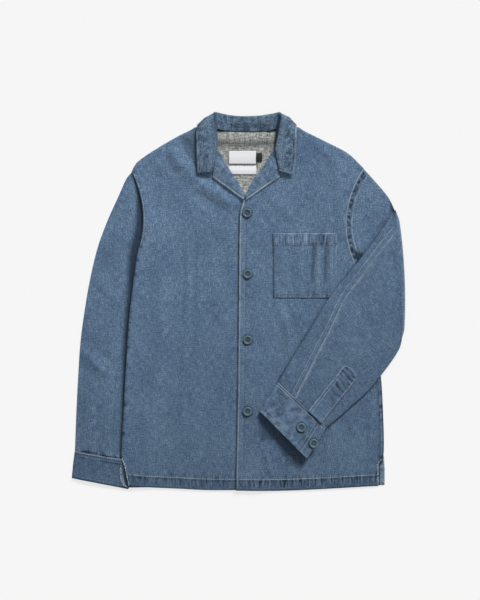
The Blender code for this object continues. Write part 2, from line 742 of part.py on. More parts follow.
def make_button(name, x, y, below):
    """A turned button with a raised rim."""
    foot = below.reach(x, y, BUTTON_RADIUS) + BUTTON_GAP
    dish = foot + BUTTON_HEIGHT * BUTTON_PROFILE[-1][1]
    points = [Vector((x, y, foot)), Vector((x, y, dish))]
    rings = []
    for out, up in BUTTON_PROFILE:
        rings.append(len(points))
        radius = BUTTON_RADIUS * out
        z = foot + BUTTON_HEIGHT * up
        for k in range(BUTTON_SIDES):
            turn = math.tau * k / BUTTON_SIDES
            points.append(Vector((x + radius * math.cos(turn), y + radius * math.sin(turn), z)))
    faces = []
    for k in range(BUTTON_SIDES):
        n = (k + 1) % BUTTON_SIDES
        faces.append((0, rings[0] + n, rings[0] + k))
        faces.append((1, rings[-1] + k, rings[-1] + n))
        for a, b in zip(rings, rings[1:]):
            faces.append((a + k, a + n, b + n, b + k))
    return add_object(name, points, faces, "button")


def centre_on_origin():
    """Move every piece so that the origin is the middle of the foot of the whole box."""
    corners = [v.co for piece in bpy.data.objects for v in piece.data.vertices]
    shift = Vector((-(min(c.x for c in corners) + max(c.x for c in corners)) / 2,
                    -(min(c.y for c in corners) + max(c.y for c in corners)) / 2,
                    -min(c.z for c in corners)))
    for piece in bpy.data.objects:
        for v in piece.data.vertices:
            v.co += shift


def main():
    for old in list(bpy.data.objects):
        bpy.data.objects.remove(old, do_unlink=True)

    sleeve_right = make_sleeve_right()
    cuff_right = make_cuff_right()
    collar = make_collar()
    back = make_back([Below([sleeve_right, cuff_right]), Below([collar], ceiling=3.4)])

    on_back = Below([back])
    labels = []
    for name, left, right, bottom, top in LABELS:
        finish = "label_black" if name == "label_size" else "label_white"
        labels.append(make_rectangle(name, left, right, bottom, top, LABEL_WALL, finish, on_back,
                                     LABEL_CELL))

    under_fronts = Below([back, *labels])
    front_right = make_front("front_right", FRONT_VENT_RIGHT, SIDE_RIGHT, ARMHOLE_RIGHT, HEM_RIGHT,
                             EDGE_RIGHT, ROLL_RIGHT, NECK_RIGHT, SHOULDER_RIGHT, 1.0, [under_fronts])
    stretch = wall("sleeve_left_flat", sleeve_left_under(), CLOTH, "denim", closed=True)
    under_left = Below([back, *labels, front_right, stretch])
    bpy.data.objects.remove(stretch, do_unlink=True)
    front_left = make_front("front_left", FRONT_VENT_LEFT, SIDE_LEFT, ARMHOLE_LEFT, HEM_LEFT,
                            EDGE_LEFT, ROLL_LEFT, NECK_LEFT, SHOULDER_LEFT, -1.0, [under_left])

    fronts = Below([front_right, front_left])
    make_lapel("facing_right", ROLL_RIGHT, LAPEL_EDGE_RIGHT, GORGE_RIGHT, 1.0, fronts)
    make_lapel("facing_left", ROLL_LEFT, LAPEL_EDGE_LEFT, GORGE_LEFT, -1.0, fronts)

    left, right, bottom, top = POCKET
    pocket = make_rectangle("chest_pocket", left, right, bottom, top, CLOTH, "denim",
                            Below([front_left]), POCKET_CELL)
    sleeve_left = make_sleeve_left(Below([front_left, front_right, pocket]))
    cuff_left = make_cuff_left()
    make_placket(Below([sleeve_left]))

    for number, (x, y) in enumerate(FRONT_BUTTONS, 1):
        make_button(f"button_front_{number}", x, y, Below([front_left]))
    for number, (x, y) in enumerate(CUFF_BUTTONS, 1):
        make_button(f"button_cuff_{number}", x, y, Below([cuff_left]))
    centre_on_origin()


main()
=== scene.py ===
"""The looks of the denim overshirt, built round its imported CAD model.

The tables hold millimetres in the plan of the CAD source: +X towards the wearer's left, +Y from
the hem to the collar. Every cloth piece is a fine grid over nearly the same outlines as its
solid, laid on the relief of the pieces under it, with its creases, hems and puckers worked in,
and then thickened into a rounded wall. Sewing is raised thread, one mesh for each of its shades.
"""
import math
from types import SimpleNamespace

import bpy
import numpy as np
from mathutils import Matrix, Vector


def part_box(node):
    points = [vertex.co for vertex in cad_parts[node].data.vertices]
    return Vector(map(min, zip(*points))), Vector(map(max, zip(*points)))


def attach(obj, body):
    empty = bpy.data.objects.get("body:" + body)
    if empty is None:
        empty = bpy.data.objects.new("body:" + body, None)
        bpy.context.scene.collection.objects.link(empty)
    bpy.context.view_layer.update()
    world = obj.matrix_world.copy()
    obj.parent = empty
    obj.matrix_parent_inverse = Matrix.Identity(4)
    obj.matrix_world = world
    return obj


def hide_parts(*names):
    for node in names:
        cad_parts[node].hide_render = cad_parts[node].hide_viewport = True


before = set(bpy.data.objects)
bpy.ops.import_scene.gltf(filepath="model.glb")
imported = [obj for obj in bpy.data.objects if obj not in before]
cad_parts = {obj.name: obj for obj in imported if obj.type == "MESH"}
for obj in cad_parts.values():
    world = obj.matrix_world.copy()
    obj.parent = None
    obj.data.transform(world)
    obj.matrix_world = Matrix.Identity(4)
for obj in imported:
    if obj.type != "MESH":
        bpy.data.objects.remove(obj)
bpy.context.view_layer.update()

MM = 0.001

# ---------------------------------------------------------------- driving sizes, mm
CLOTH = 1.2              # one layer of denim
DOUBLE = 2.2             # collar and lapels
CUFF_WALL = 2.0
LABEL_WALL = 0.6
GAP = 0.35               # between two pieces that lie on each other
ROLL_ROOM = 2.6          # from a front's edge to the lapel's roll
HEM_WIDTH = 22.0
VENT_HEM = 13.0          # width turned in along the vents
BACK_INSET = 1.5         # the back's sides lie this far inside the fronts'
STAND_MIDDLE = 16.0      # x of the middle of the neck
NO_EDGE = 50.0           # the "edge" value far from any pale line
FAR, TINY = 1e9, 1e-9

# Outlines in the plan, (x, y): the CAD source's, with a few points moved by some millimetres
SHOULDER_RIGHT = [(-214, 258), (-207.5, 271), (-196, 283.5), (-159, 308), (-118, 331.5),
                  (-97, 341.5), (-86, 347.5), (-76, 346), (-60, 345)]
SHOULDER_LEFT = [(255.5, 259), (242.5, 274), (217, 297), (175.5, 318.6), (132, 340.2),
                 (119, 347.5), (108, 346.5), (92, 345)]
SIDE_RIGHT = [(-234, -298), (-229, -198), (-221, -58), (-215, 2), (-205, 78), (-200, 104)]
SIDE_LEFT = [(291, -298), (290, -238), (285, -150), (271, -48), (255, 22), (240, 78)]
FRONT_VENT_RIGHT = [(-220, -369), (-227, -334), (-233, -316)]
FRONT_VENT_LEFT = [(280, -370), (280, -342), (280.5, -326), (288, -316)]
BACK_VENT_RIGHT = [(-225, -373), (-236, -364), (-239, -338), (-234, -316)]
BACK_VENT_LEFT = [(294, -368.5), (294, -338), (292.8, -316)]
HEM_RIGHT = [(-220, -369), (-177, -373), (-117, -376), (-57, -379), (34, -379)]
HEM_LEFT = [(280, -370), (243, -372), (183, -375.5), (123, -378.5), (63, -380), (-5, -379)]
HEM_BACK = [(-225, -373), (-117, -374), (0, -376), (123, -375), (294, -368.5)]
NECK_BACK = [(-60, 345), (-40, 339), (16, 337), (72, 339), (92, 345)]
EDGE_RIGHT = [(34, -378), (34, -180), (34, 0), (34, 120), (32, 170), (23, 199)]
EDGE_LEFT = [(-5, -379), (-2, -238), (0, -98), (1, 2), (2, 122), (4, 178), (11, 201)]
ROLL_RIGHT = [(12, 212), (-8, 243), (-25, 269), (-44, 302)]
ROLL_LEFT = [(16, 211), (35, 246), (53, 268), (72, 302)]
NECK_RIGHT = [(-56, 316), (-61, 330), (-60, 345)]
NECK_LEFT = [(87, 316), (93, 330), (92, 345)]
ARMHOLE_RIGHT = ((-214, 258), (-200, 104), 16)
ARMHOLE_LEFT = ((255.5, 259), (240, 78), -27)
GORGE_RIGHT = [(-42, 302), (-46, 280), (-50, 262), (-52, 248)]
LAPEL_EDGE_RIGHT = [(9.5, 203.5), (-9, 216.5), (-32, 233.5), (-52, 248)]
GORGE_LEFT = [(72, 302), (76, 280), (80, 262), (82, 248)]
LAPEL_EDGE_LEFT = [(14.5, 201.5), (35, 216), (60, 233.5), (82, 248)]

COLLAR = (
    # seam x, y, z     roll x, y     stand, fall   middle x, y, z     edge x, y, z
    ((-59, 259, 7.4), (-53.5, 258.5), 7.4, 11.0, (-67, 257.5, 10.4), (-81, 256, 9.2)),
    ((-54, 281, 7.6), (-47.5, 280.5), 7.6, 12.2, (-64, 280, 12.0), (-82.5, 278, 10.2)),
    ((-44.5, 306, 7.0), (-43.5, 303), 8.2, 13.2, (-62, 303, 13.2), (-83, 301, 10.8)),
    ((-42.5, 320, 7.0), (-46.5, 324), 8.2, 13.6, (-64, 324, 13.4), (-83.5, 322, 11.2)),
    ((-42, 334, 7.0), (-49.5, 347), 8.2, 13.4, (-66, 344, 13.0), (-83.8, 341, 11.2)),
    ((-43.5, 340.5, 7.4), (-51, 366), 8.4, 12.2, (-67, 359, 10.4), (-82.4, 350.5, 7.0)),
    ((-42.5, 344, 7.7), (-49.5, 372.5), 8.8, 7.2, (-66, 362, 6.6), (-79.5, 352, 4.2)),
    ((-39.5, 345, 7.8), (-46.5, 377), 9.0, 3.0, (-66, 366, 3.2), (-81, 350, 1.6)),
    ((-31, 342.5, 7.2), (-35, 374.5), 8.8, 1.4, (-44, 352, 1.4), (-58, 326, 1.4)),
    ((-12, 341, 6.4), (-12, 370.5), 8.4, 1.4, (-14, 348, 1.4), (-20, 319, 1.4)),
    ((16, 340.5, 6.4), (16, 369), 8.4, 1.4, (16, 346, 1.4), (16, 317, 1.4)),
    ((44, 341, 6.4), (45, 370.5), 8.4, 1.4, (47, 348, 1.4), (53, 319, 1.4)),
    ((64, 342.5, 7.2), (69, 374.5), 8.8, 1.4, (78, 352, 1.4), (92, 326, 1.4)),
    ((72, 345, 7.8), (81.5, 377), 9.0, 3.0, (100, 366, 3.2), (114, 350, 1.6)),
    ((75, 344, 7.7), (83.5, 372.5), 8.8, 7.2, (101, 364, 6.6), (115, 352, 4.2)),
    ((76, 340.5, 7.4), (85.2, 365.5), 8.4, 12.2, (100, 360, 10.4), (115.5, 353, 7.0)),
    ((74.5, 334, 7.0), (81.5, 347), 8.2, 13.4, (98, 344, 13.0), (115.3, 341, 11.2)),
    ((73.5, 320, 7.0), (77.5, 324), 8.2, 13.6, (95, 324, 13.4), (115, 322, 11.2)),
    ((74.5, 306, 7.0), (73.5, 303), 8.2, 13.2, (93, 303, 13.2), (114.5, 301, 10.8)),
    ((84, 281, 7.6), (77.5, 280.5), 7.6, 12.2, (94, 279, 12.0), (113.5, 274, 10.2)),
    ((87, 261, 7.4), (81.5, 260.5), 7.4, 11.0, (94, 257, 10.4), (108, 252, 9.2)),
)
TIGHT_ROLL, ROLL_OPENING = 1.8, 3.5

SLEEVE_RIGHT = (
    # outer x, y     underarm x, y   bow
    ((-213, 258), (-166, 36), 10),
    ((-224.5, 244), (-164.5, 16), 7),
    ((-238, 214), (-163, -4), 4),
    ((-263, 158), (-161, -28), 1),
    ((-283, 102), (-160, -48), 0),
    ((-299, 32), (-160, -66), 0),
    ((-311, -42), (-162, -92), 0),
    ((-317, -94), (-166, -124), 0),
    ((-321, -158), (-174, -174), 0),
    ((-324, -218), (-186, -228), 0),
    ((-326, -268), (-201, -280), 0),
    ((-327, -300), (-213, -320), 0),
)
SLEEVE_PUFF, PUFF_START, PUFF_WIDTH = 4.6, 4, 34
CUFF_RIGHT = (
    ((-327.1, -300.7), (-213.1, -320.7)),
    ((-330.5, -328), (-217, -348)),
    ((-333, -354), (-221, -376)),
)
SLEEVE_LEFT_UNDER = (
    ((255.9, 258.6), (240.2, 77.8), -27),
    ((272.8, 239.8), (257, 48), -18),
    ((288.6, 221.6), (275, 16), -10),
    ((302, 203.6), (293, -18), -2),
)
SLEEVE_FOLD = ((312.6, 181), (323.5, -73), 7.4)
FOLD_DRIFT = (1.8, -6)
FOLD_RADIUS = 4.6
FLAT_LAYERS = 2.4           # between the middles of two layers that lie pressed flat
SLEEVE_LEFT_OVER = (
    # upper x, y     lower x, y   bow   lowest the under layer may lie, height between layers
    ((302, 167), (323.6, -87.5), 8.4, 8.8, 2.6),
    ((290, 146), (319, -99), 8, 8.0, 3.2),
    ((263, 108), (306, -119.5), 4, 7.4, 4.6),
    ((223, 58), (283, -150), 2, 7.0, 6.0),
    ((183, 8), (258, -180), 0, 7.0, 6.4),
    ((143, -58), (227, -208), 0, 6.4, 6.4),
    ((117, -100), (204, -229), 0, 6.8, 6.0),
    ((95, -137), (187, -243), 0, 7.6, 5.4),
    ((79.5, -163), (175, -253), 0, 8.4, 4.8),
)
CUFF_LEFT = (
    ((79.1, -163.5), (174.6, -253.5), 8.4),
    ((60, -193), (156, -284), 11.0),
    ((43, -219), (136, -313), 14.6),
)
CUFF_LAYER = 2.5
OVERLAP_END, UNDERLAP_END, BEND_START, LIP = 0.87, 0.62, 0.07, 2.6

POCKET = (70, 196, 7, 136)
PLACKET_ROUTE = ((154, -230), (182, -193.5), (208, -161), (227, -136))
PLACKET_HALF_WIDTH = 18
LABELS = (
    # name, x, x, y, y, finish, how far its lower edge stands up
    ("label_main", -19, 35, 275, 300, "label_white", 0.4),
    ("label_size", 36, 47, 279, 296, "label_black", 0.0),
    ("label_care", -20, 35, 254, 270, "label_white", 0.4),
)
FRONT_BUTTONS = ((17, 176), (18, 54), (18, -78), (18, -221))
CUFF_BUTTONS = ((125, -252), (150, -284))

# From the tables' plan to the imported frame: the first button tells how far the source moved it
low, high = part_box("button_front_1")
SHIFT = np.array([(low.x + high.x) / 2 / MM - FRONT_BUTTONS[0][0],
                  (low.y + high.y) / 2 / MM - FRONT_BUTTONS[0][1], 0.0])


# ---------------------------------------------------------------- curves and grids
def curve(points, steps):
    """A smooth curve through the points, with the same number of steps between each two."""
    p = np.array(points, float)
    p = np.concatenate([[2 * p[0] - p[1]], p, [2 * p[-1] - p[-2]]])
    t = (np.arange(1, steps + 1) / steps).reshape(-1, *[1] * (p.ndim - 1))
    line = [p[1:2]]
    for a, b, c, d in zip(p, p[1:], p[2:], p[3:]):
        line.append(0.5 * (2 * b + (c - a) * t + (2 * a - 5 * b + 4 * c - d) * t ** 2
                           + (3 * b - a - 3 * c + d) * t ** 3))
    return np.concatenate(line)


def lengths_along(line):
    """How far along a polyline each of its points is."""
    return np.r_[0, np.cumsum(np.linalg.norm(np.diff(line, axis=0), axis=1))]


def even(line, pieces):
    """The same polyline, cut into equal lengths."""
    flat = line.reshape(len(line), -1)
    lengths = lengths_along(flat)
    goals = np.linspace(0, lengths[-1], pieces + 1)
    cut = np.stack([np.interp(goals, lengths, flat[:, k]) for k in range(flat.shape[1])], axis=1)
    return cut.reshape(len(cut), *line.shape[1:])


def smooth(points, pieces):
    """A smooth curve through the points, cut into equal lengths."""
    return even(curve(points, 16), pieces)


def join(*curves):
    """Curves that meet end to start, as one."""
    return np.concatenate([curves[0]] + [c[1:] for c in curves[1:]])


def bowed(start, end, bow, t):
    """Points at shares t of a line that bows out by bow in x at its middle."""
    t = np.asarray(t, float)[..., None]
    line = np.array(start) * (1 - t) + np.array(end) * t
    return line + np.array([bow, 0]) * 4 * t * (1 - t)


def armhole(seam, pieces):
    """An armhole seam from its foot up."""
    top, foot, bow = seam
    return bowed(foot, top, bow, np.linspace(0, 1, pieces + 1))


def patch(foot, head, start, end):
    """Grid of plan points between four edges: foot and head run across, start and end up."""
    v = np.linspace(0, 1, len(start))[:, None, None]
    u = np.linspace(0, 1, len(foot))[None, :, None]
    across = start[:, None] * (1 - u) + end[:, None] * u
    up = foot[None] * (1 - v) + head[None] * v
    corners = ((foot[0] * (1 - u) + foot[-1] * u) * (1 - v)
               + (head[0] * (1 - u) + head[-1] * u) * v)
    return across + up - corners


def clamp(t):
    """t, kept from 0 to 1."""
    return np.clip(t, 0, 1)


def ease(t):
    """A smooth step up from 0 to 1 while t goes from 0 to 1."""
    t = clamp(t)
    return t * t * (3 - 2 * t)


def bell(away, width):
    """1 at no distance, falling to almost nothing at twice the width."""
    return np.exp(-(away / width) ** 2)


def stripe(away, reach, nearest):
    """Edge values of a pale line: the distance from it plus nearest, out to reach."""
    return np.where(np.abs(away) < reach, np.abs(away) + nearest, NO_EDGE)


def noise(x, y, size, seed, stretch=1.0):
    """Smooth noise from -1 to 1 with waves of about size mm, stretch times longer along y."""
    cells = 64
    lattice = np.random.default_rng(seed).uniform(-1, 1, (cells, cells))
    u, v = np.asarray(x) / size + 17.3, np.asarray(y) / (size * stretch) + 9.1
    i, j = np.floor(u).astype(int), np.floor(v).astype(int)
    a, b = ease(u - i), ease(v - j)

    def corner(di, dj):
        return lattice[(i + di) % cells, (j + dj) % cells]

    return ((corner(0, 0) * (1 - a) + corner(1, 0) * a) * (1 - b)
            + (corner(0, 1) * (1 - a) + corner(1, 1) * a) * b)


def wave(run, size, seed):
    """Noise along one direction."""
    return noise(run, run * 0, size, seed)


def near(plan, line):
    """For plan points: distance to the polyline, and how far along it the nearest point is."""
    line = np.asarray(line, float)
    points = plan.reshape(-1, 2)
    best = np.full(len(points), FAR)
    run = np.zeros(len(points))
    passed = 0.0
    for a, b in zip(line[:-1], line[1:]):
        edge = b - a
        length = float(np.hypot(*edge))
        if length < TINY:
            continue
        t = clamp(((points - a) @ edge) / length ** 2)
        away = np.hypot(*(points - a - t[:, None] * edge).T)
        closer = away < best
        best[closer] = away[closer]
        run[closer] = passed + t[closer] * length
        passed += length
    return best.reshape(plan.shape[:-1]), run.reshape(plan.shape[:-1])


def ridges(plan, table, seed):
    """Height of soft ridges and troughs: each has two ends, a half width and a height."""
    total = np.zeros(plan.shape[:-1])
    for k, (start, end, half_width, height) in enumerate(table):
        line = np.array([start, end], float)
        away, run = near(plan, line)
        length = float(np.hypot(*(line[1] - line[0])))
        wander = 1 + 0.25 * noise(run, run * 0 + k * 31.0, 40, seed + k)
        along = ease(np.minimum(run, length - run) / (0.3 * length) + 0.25)
        total += height * (1 - ease(away / (half_width * wander))) * along
    return total


def inside(plan, corners, soft):
    """1 well inside a convex outline (corners clockwise), 0 outside it, even over soft mm."""
    corners = np.array(corners, float)
    least = np.full(plan.shape[:-1], FAR)
    for a, b in zip(corners, np.roll(corners, -1, axis=0)):
        across = unit(np.array([b[1] - a[1], a[0] - b[0]]))
        least = np.minimum(least, (plan - a) @ across)
    return ease(least / soft + 0.5)


# ---------------------------------------------------------------- relief
CELL = 1.5
RELIEF_CORNER = (-352.0, -396.0)
RELIEF_ROWS, RELIEF_COLUMNS = 530, 472
RELIEF_STEPS = 3            # points laid on the relief for each step of a grid


class Relief:
    """The highest surface so far over the plan, kept on a square grid."""

    def __init__(self):
        self.corner = np.array(RELIEF_CORNER)
        self.top = np.zeros((RELIEF_ROWS, RELIEF_COLUMNS))

    def add(self, grid, lift=0.0):
        """Raise the relief to a surface given as a grid of points, lift mm over them."""
        raised = grid + np.array([0, 0, lift])
        fine = curve_rows(curve_rows(raised, RELIEF_STEPS).transpose(1, 0, 2), RELIEF_STEPS)
        column = np.rint((fine[..., 0] - self.corner[0]) / CELL).astype(int).ravel()
        row = np.rint((fine[..., 1] - self.corner[1]) / CELL).astype(int).ravel()
        np.maximum.at(self.top, (row, column), fine[..., 2].ravel())

    def widened(self, radius):
        """The relief spread by radius, and smoothed by less than that."""
        cells = int(round(radius / CELL))
        wide = self.top.copy()
        for dy in range(-cells, cells + 1):
            for dx in range(-cells, cells + 1):
                if dx * dx + dy * dy <= cells * cells + 1:
                    wide = np.maximum(wide, np.roll(self.top, (dy, dx), (0, 1)))
        for _ in range(max(1, cells // 2)):
            wide = (wide + np.roll(wide, 1, 0) + np.roll(wide, -1, 0)
                    + np.roll(wide, 1, 1) + np.roll(wide, -1, 1)) / 5
        return wide

    def at(self, plan, field=None):
        """The height at plan points, of the relief or of a widened one."""
        field = self.top if field is None else field
        u = np.clip((plan[..., 0] - self.corner[0]) / CELL, 0, field.shape[1] - 2)
        v = np.clip((plan[..., 1] - self.corner[1]) / CELL, 0, field.shape[0] - 2)
        i, j = u.astype(int), v.astype(int)
        a, b = u - i, v - j
        return ((field[j, i] * (1 - a) + field[j, i + 1] * a) * (1 - b)
                + (field[j + 1, i] * (1 - a) + field[j + 1, i + 1] * a) * b)


def curve_rows(grid, steps):
    """The grid with steps - 1 more rows between each two, by straight lines."""
    t = np.linspace(0, 1, steps, endpoint=False)[None, :, None, None]
    fine = grid[:-1, None] * (1 - t) + grid[1:, None] * t
    return np.concatenate([fine.reshape(-1, *grid.shape[1:]), grid[-1:]])


relief = Relief()


def lay(plan, thickness, radius, passes):
    """Lift a plan grid just above the relief, with the cloth drawn smooth between."""
    needed = relief.at(plan, relief.widened(radius)) + GAP + thickness / 2
    heights = needed.copy()
    for _ in range(passes):
        heights = np.maximum(needed, blurred(heights))
    return np.dstack([plan, heights])


def blurred(field):
    """Each value replaced by the mean of its four neighbours."""
    padded = np.pad(field, 1, mode="edge")
    return (padded[:-2, 1:-1] + padded[2:, 1:-1] + padded[1:-1, :-2] + padded[1:-1, 2:]) / 4


# ---------------------------------------------------------------- walls
EDGE_BULGE = 0.42       # how far an edge rounds out, in thicknesses


def unit(vectors):
    """The same directions, all of length 1."""
    return vectors / np.maximum(np.linalg.norm(vectors, axis=-1, keepdims=True), TINY)


def grid_normals(grid, closed=False):
    """Normals of a grid's surface; closed where its rows are rings."""
    if closed:
        across = np.roll(grid, -1, 1) - np.roll(grid, 1, 1)
    else:
        across = np.gradient(grid, axis=1)
    return unit(np.cross(across, np.gradient(grid, axis=0)))


def make_mesh(name, points, faces, materials, face_materials=None, fields=None):
    """A smooth mesh object from points in mm, riding on the garment's body."""
    mesh = bpy.data.meshes.new(name)
    mesh.from_pydata(((points + SHIFT) * MM).tolist(), [], faces)
    for material in materials:
        mesh.materials.append(material)
    if face_materials is not None:
        mesh.polygons.foreach_set("material_index", np.asarray(face_materials, np.int32))
    mesh.shade_smooth()
    for field, values in (fields or {}).items():
        kind = "FLOAT_VECTOR" if values.ndim == 2 else "FLOAT"
        attribute = mesh.attributes.new(field, kind, "POINT")
        attribute.data.foreach_set("vector" if values.ndim == 2 else "value",
                                   np.ascontiguousarray(values, np.float32).ravel())
    mesh.update()
    placed = bpy.data.objects.new(name, mesh)
    bpy.context.scene.collection.objects.link(placed)
    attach(placed, "root")
    return placed


def edge_loops(grid, number, closed):
    """Rings of point numbers along the free edges, each with its ways out of the cloth."""
    if closed:
        first, last = np.r_[number[0], number[0, 0]], np.r_[number[-1], number[-1, 0]][::-1]
        return [(first, grid[0] - grid[1]), (last, (grid[-1] - grid[-2])[::-1])]
    ring = np.concatenate([number[0, :-1], number[:-1, -1], number[-1, :0:-1], number[:0:-1, 0]])
    away = np.zeros_like(grid)
    away[0] += unit(grid[0] - grid[1])
    away[-1] += unit(grid[-1] - grid[-2])
    away[:, 0] += unit(grid[:, 0] - grid[:, 1])
    away[:, -1] += unit(grid[:, -1] - grid[:, -2])
    return [(np.r_[ring, ring[0]], away.reshape(-1, 3)[ring])]


def wall(name, grid, thickness, materials, fields, closed=False, outward=None):
    """A closed wall round a middle surface, with rounded edges.

    The first material is for the upper side and the edges, the second for the under side.
    fields are values at the grid's points, for the shaders. outward tells the upper side of a
    surface that goes round.
    """
    normals = grid_normals(grid, closed)
    facing = normals[..., 2].mean() if outward is None else (normals * outward).sum(-1).mean()
    if facing < 0:
        grid, normals = grid[:, ::-1], -normals[:, ::-1]
        fields = {k: v[:, ::-1] for k, v in fields.items()}
    rows, columns = grid.shape[:2]
    half = rows * columns
    number = np.arange(half).reshape(rows, columns)
    wrap = np.concatenate([number, number[:, :1]], axis=1) if closed else number
    quads = np.stack([wrap[:-1, :-1], wrap[:-1, 1:], wrap[1:, 1:], wrap[1:, :-1]], -1).reshape(-1, 4)
    faces = [quads, quads[:, ::-1] + half]
    kinds = [np.zeros(len(quads), int), np.ones(len(quads), int)]
    side = normals * (thickness / 2)
    points = [(grid + side).reshape(-1, 3), (grid - side).reshape(-1, 3)]
    flat = {k: v.reshape(half, *v.shape[2:]) for k, v in fields.items()}
    picked = {k: [v, v] for k, v in flat.items()}
    base = 2 * half
    for ring, away in edge_loops(grid, number, closed):
        a, b = ring[:-1], ring[1:]
        points.append((points[0][a] + points[1][a]) / 2 + unit(away) * thickness * EDGE_BULGE)
        rim = base + np.arange(len(a))
        following = np.roll(rim, -1)
        faces += [np.stack([b, a, rim, following], -1), np.stack([following, rim, a + half, b + half], -1)]
        kinds += [np.zeros(2 * len(a), int)]
        for k, v in flat.items():
            picked[k].append(v[a])
        base += len(a)
    values = {k: np.concatenate(v) for k, v in picked.items()}
    return make_mesh(name, np.concatenate(points), np.concatenate(faces).tolist(), materials,
                     np.concatenate(kinds), values)


def lay_piece(name, grid, thickness, materials, fields):
    """Makes an open piece and raises the relief to it."""
    made = wall(name, grid, thickness, materials, fields)
    relief.add(grid, thickness / 2)
    return made, grid


DARKEST = 0.92                      # of the painted shades
HEM_SHADE = 0.30                    # painted shade: how much darker the cloth is at its foot than at its head
SHADE_FROM, SHADE_REACH = 190, 520  # y under which it darkens, and over how many mm


def cloth_fields(plan, turn=0.0, edge=NO_EDGE, wear=0.0, painted_shade_and_mottle=0.0, gather=0.0, height=None):
    """The values that the denim shader reads, at the grid's points."""
    shape = plan.shape[:2]
    x, y = plan[..., 0], plan[..., 1]
    # painted shade: the cloth darker towards its foot, as the light falls off there
    lower = HEM_SHADE * clamp((SHADE_FROM - (y if height is None else height)) / SHADE_REACH)
    c, s = math.cos(turn), math.sin(turn)
    cloth = np.stack([x * c - y * s, x * s + y * c, np.zeros(shape)], axis=-1)
    # the dark share: painted shade in hollows, gaps and cast shadows, together with the cloth's own darker
    # mottling
    values = {"edge": edge, "wear": wear, "gather": gather,
              "painted_shade_and_mottle": np.clip(lower + painted_shade_and_mottle, 0, DARKEST)}
    return {"cloth": cloth, **{k: np.broadcast_to(v, shape) for k, v in values.items()}}


# ---------------------------------------------------------------- materials
class Nodes:
    """Builds a material's nodes: each call adds one and gives its output."""

    def __init__(self, name):
        self.material = bpy.data.materials.new(name)
        self.material.use_nodes = True
        self.tree = self.material.node_tree
        self.shader = self.tree.nodes["Principled BSDF"]

    def add(self, kind, output=0, settings=None, **inputs):
        """One node. Inputs are named, or i0, i1 and so on by their number."""
        node = self.tree.nodes.new(kind)
        for key, value in (settings or {}).items():
            setattr(node, key, value)
        for key, value in inputs.items():
            socket = node.inputs[int(key[1:]) if key[0] == "i" and key[1:].isdigit() else key]
            self.put(socket, value)
        return node.outputs[output]

    def put(self, socket, value):
        if isinstance(value, bpy.types.NodeSocket):
            self.tree.links.new(value, socket)
        else:
            socket.default_value = value

    def math(self, operation, a, b=0.0, clamp=False):
        return self.add("ShaderNodeMath", settings={"operation": operation, "use_clamp": clamp},
                        i0=a, i1=b)

    def chain(self, operation, values):
        """The operation over all the values, from the first to the last."""
        result = values[0]
        for value in values[1:]:
            result = self.math(operation, result, value)
        return result

    def total(self, *values):
        return self.chain("ADD", values)

    def times(self, *values):
        return self.chain("MULTIPLY", values)

    def swing(self, value, amount):
        """A 0 to 1 value turned into one that swings round 0 by amount."""
        return self.times(self.math("SUBTRACT", value, 0.5), amount)

    def ramp(self, value, first, last, middle=None):
        """A colour from first to last, by way of middle."""
        node = self.tree.nodes.new("ShaderNodeValToRGB")
        elements = node.color_ramp.elements
        elements[0].color, elements[1].color = (*first, 1), (*last, 1)
        if middle is not None:
            elements.new(0.5).color = (*middle, 1)
        self.put(node.inputs[0], value)
        return node.outputs[0]

    def read(self, name, output=2):
        """A value kept at the mesh's points; output 1 reads a vector."""
        return self.add("ShaderNodeAttribute", output, {"attribute_name": name})

    def scaled(self, vector, x, y, z=1.0):
        return self.add("ShaderNodeVectorMath", settings={"operation": "MULTIPLY"},
                        i0=vector, i1=(x, y, z))

    def place(self):
        """The place on the object, in mm."""
        return self.scaled(self.add("ShaderNodeTexCoord", 3), 1000, 1000, 1000)

    def noise(self, vector, x, y, detail, roughness=0.5):
        """Noise from 0 to 1, whose grains are about x by y mm."""
        return self.add("ShaderNodeTexNoise", 0, {"noise_dimensions": "3D"},
                        Vector=self.scaled(vector, 1 / x, 1 / y), Scale=1.0, Detail=detail,
                        Roughness=roughness)

    def window(self, value, low, high, start=0.0, end=1.0):
        """start where value is at or under low, end at or over high, and even between."""
        node = self.tree.nodes.new("ShaderNodeMapRange")
        node.interpolation_type = "SMOOTHSTEP"
        self.put(node.inputs["Value"], value)
        for key, number in (("From Min", low), ("From Max", high), ("To Min", start), ("To Max", end)):
            node.inputs[key].default_value = number
        return node.outputs["Result"]

    def blend(self, share, a, b):
        node = self.tree.nodes.new("ShaderNodeMix")
        node.data_type = "RGBA"
        self.put(node.inputs["Factor"], share)
        self.put(node.inputs[6], a)
        self.put(node.inputs[7], b)
        return node.outputs[2]

    def bump(self, height, distance, strength):
        normal = self.add("ShaderNodeBump", Height=height, Strength=strength, Distance=distance)
        self.tree.links.new(normal, self.shader.inputs["Normal"])

    def set(self, **values):
        for key, value in values.items():
            self.put(self.shader.inputs[key.replace("_", " ")], value)


TWILL_SLOPE, TWILL_PITCH = 0.55, 0.95


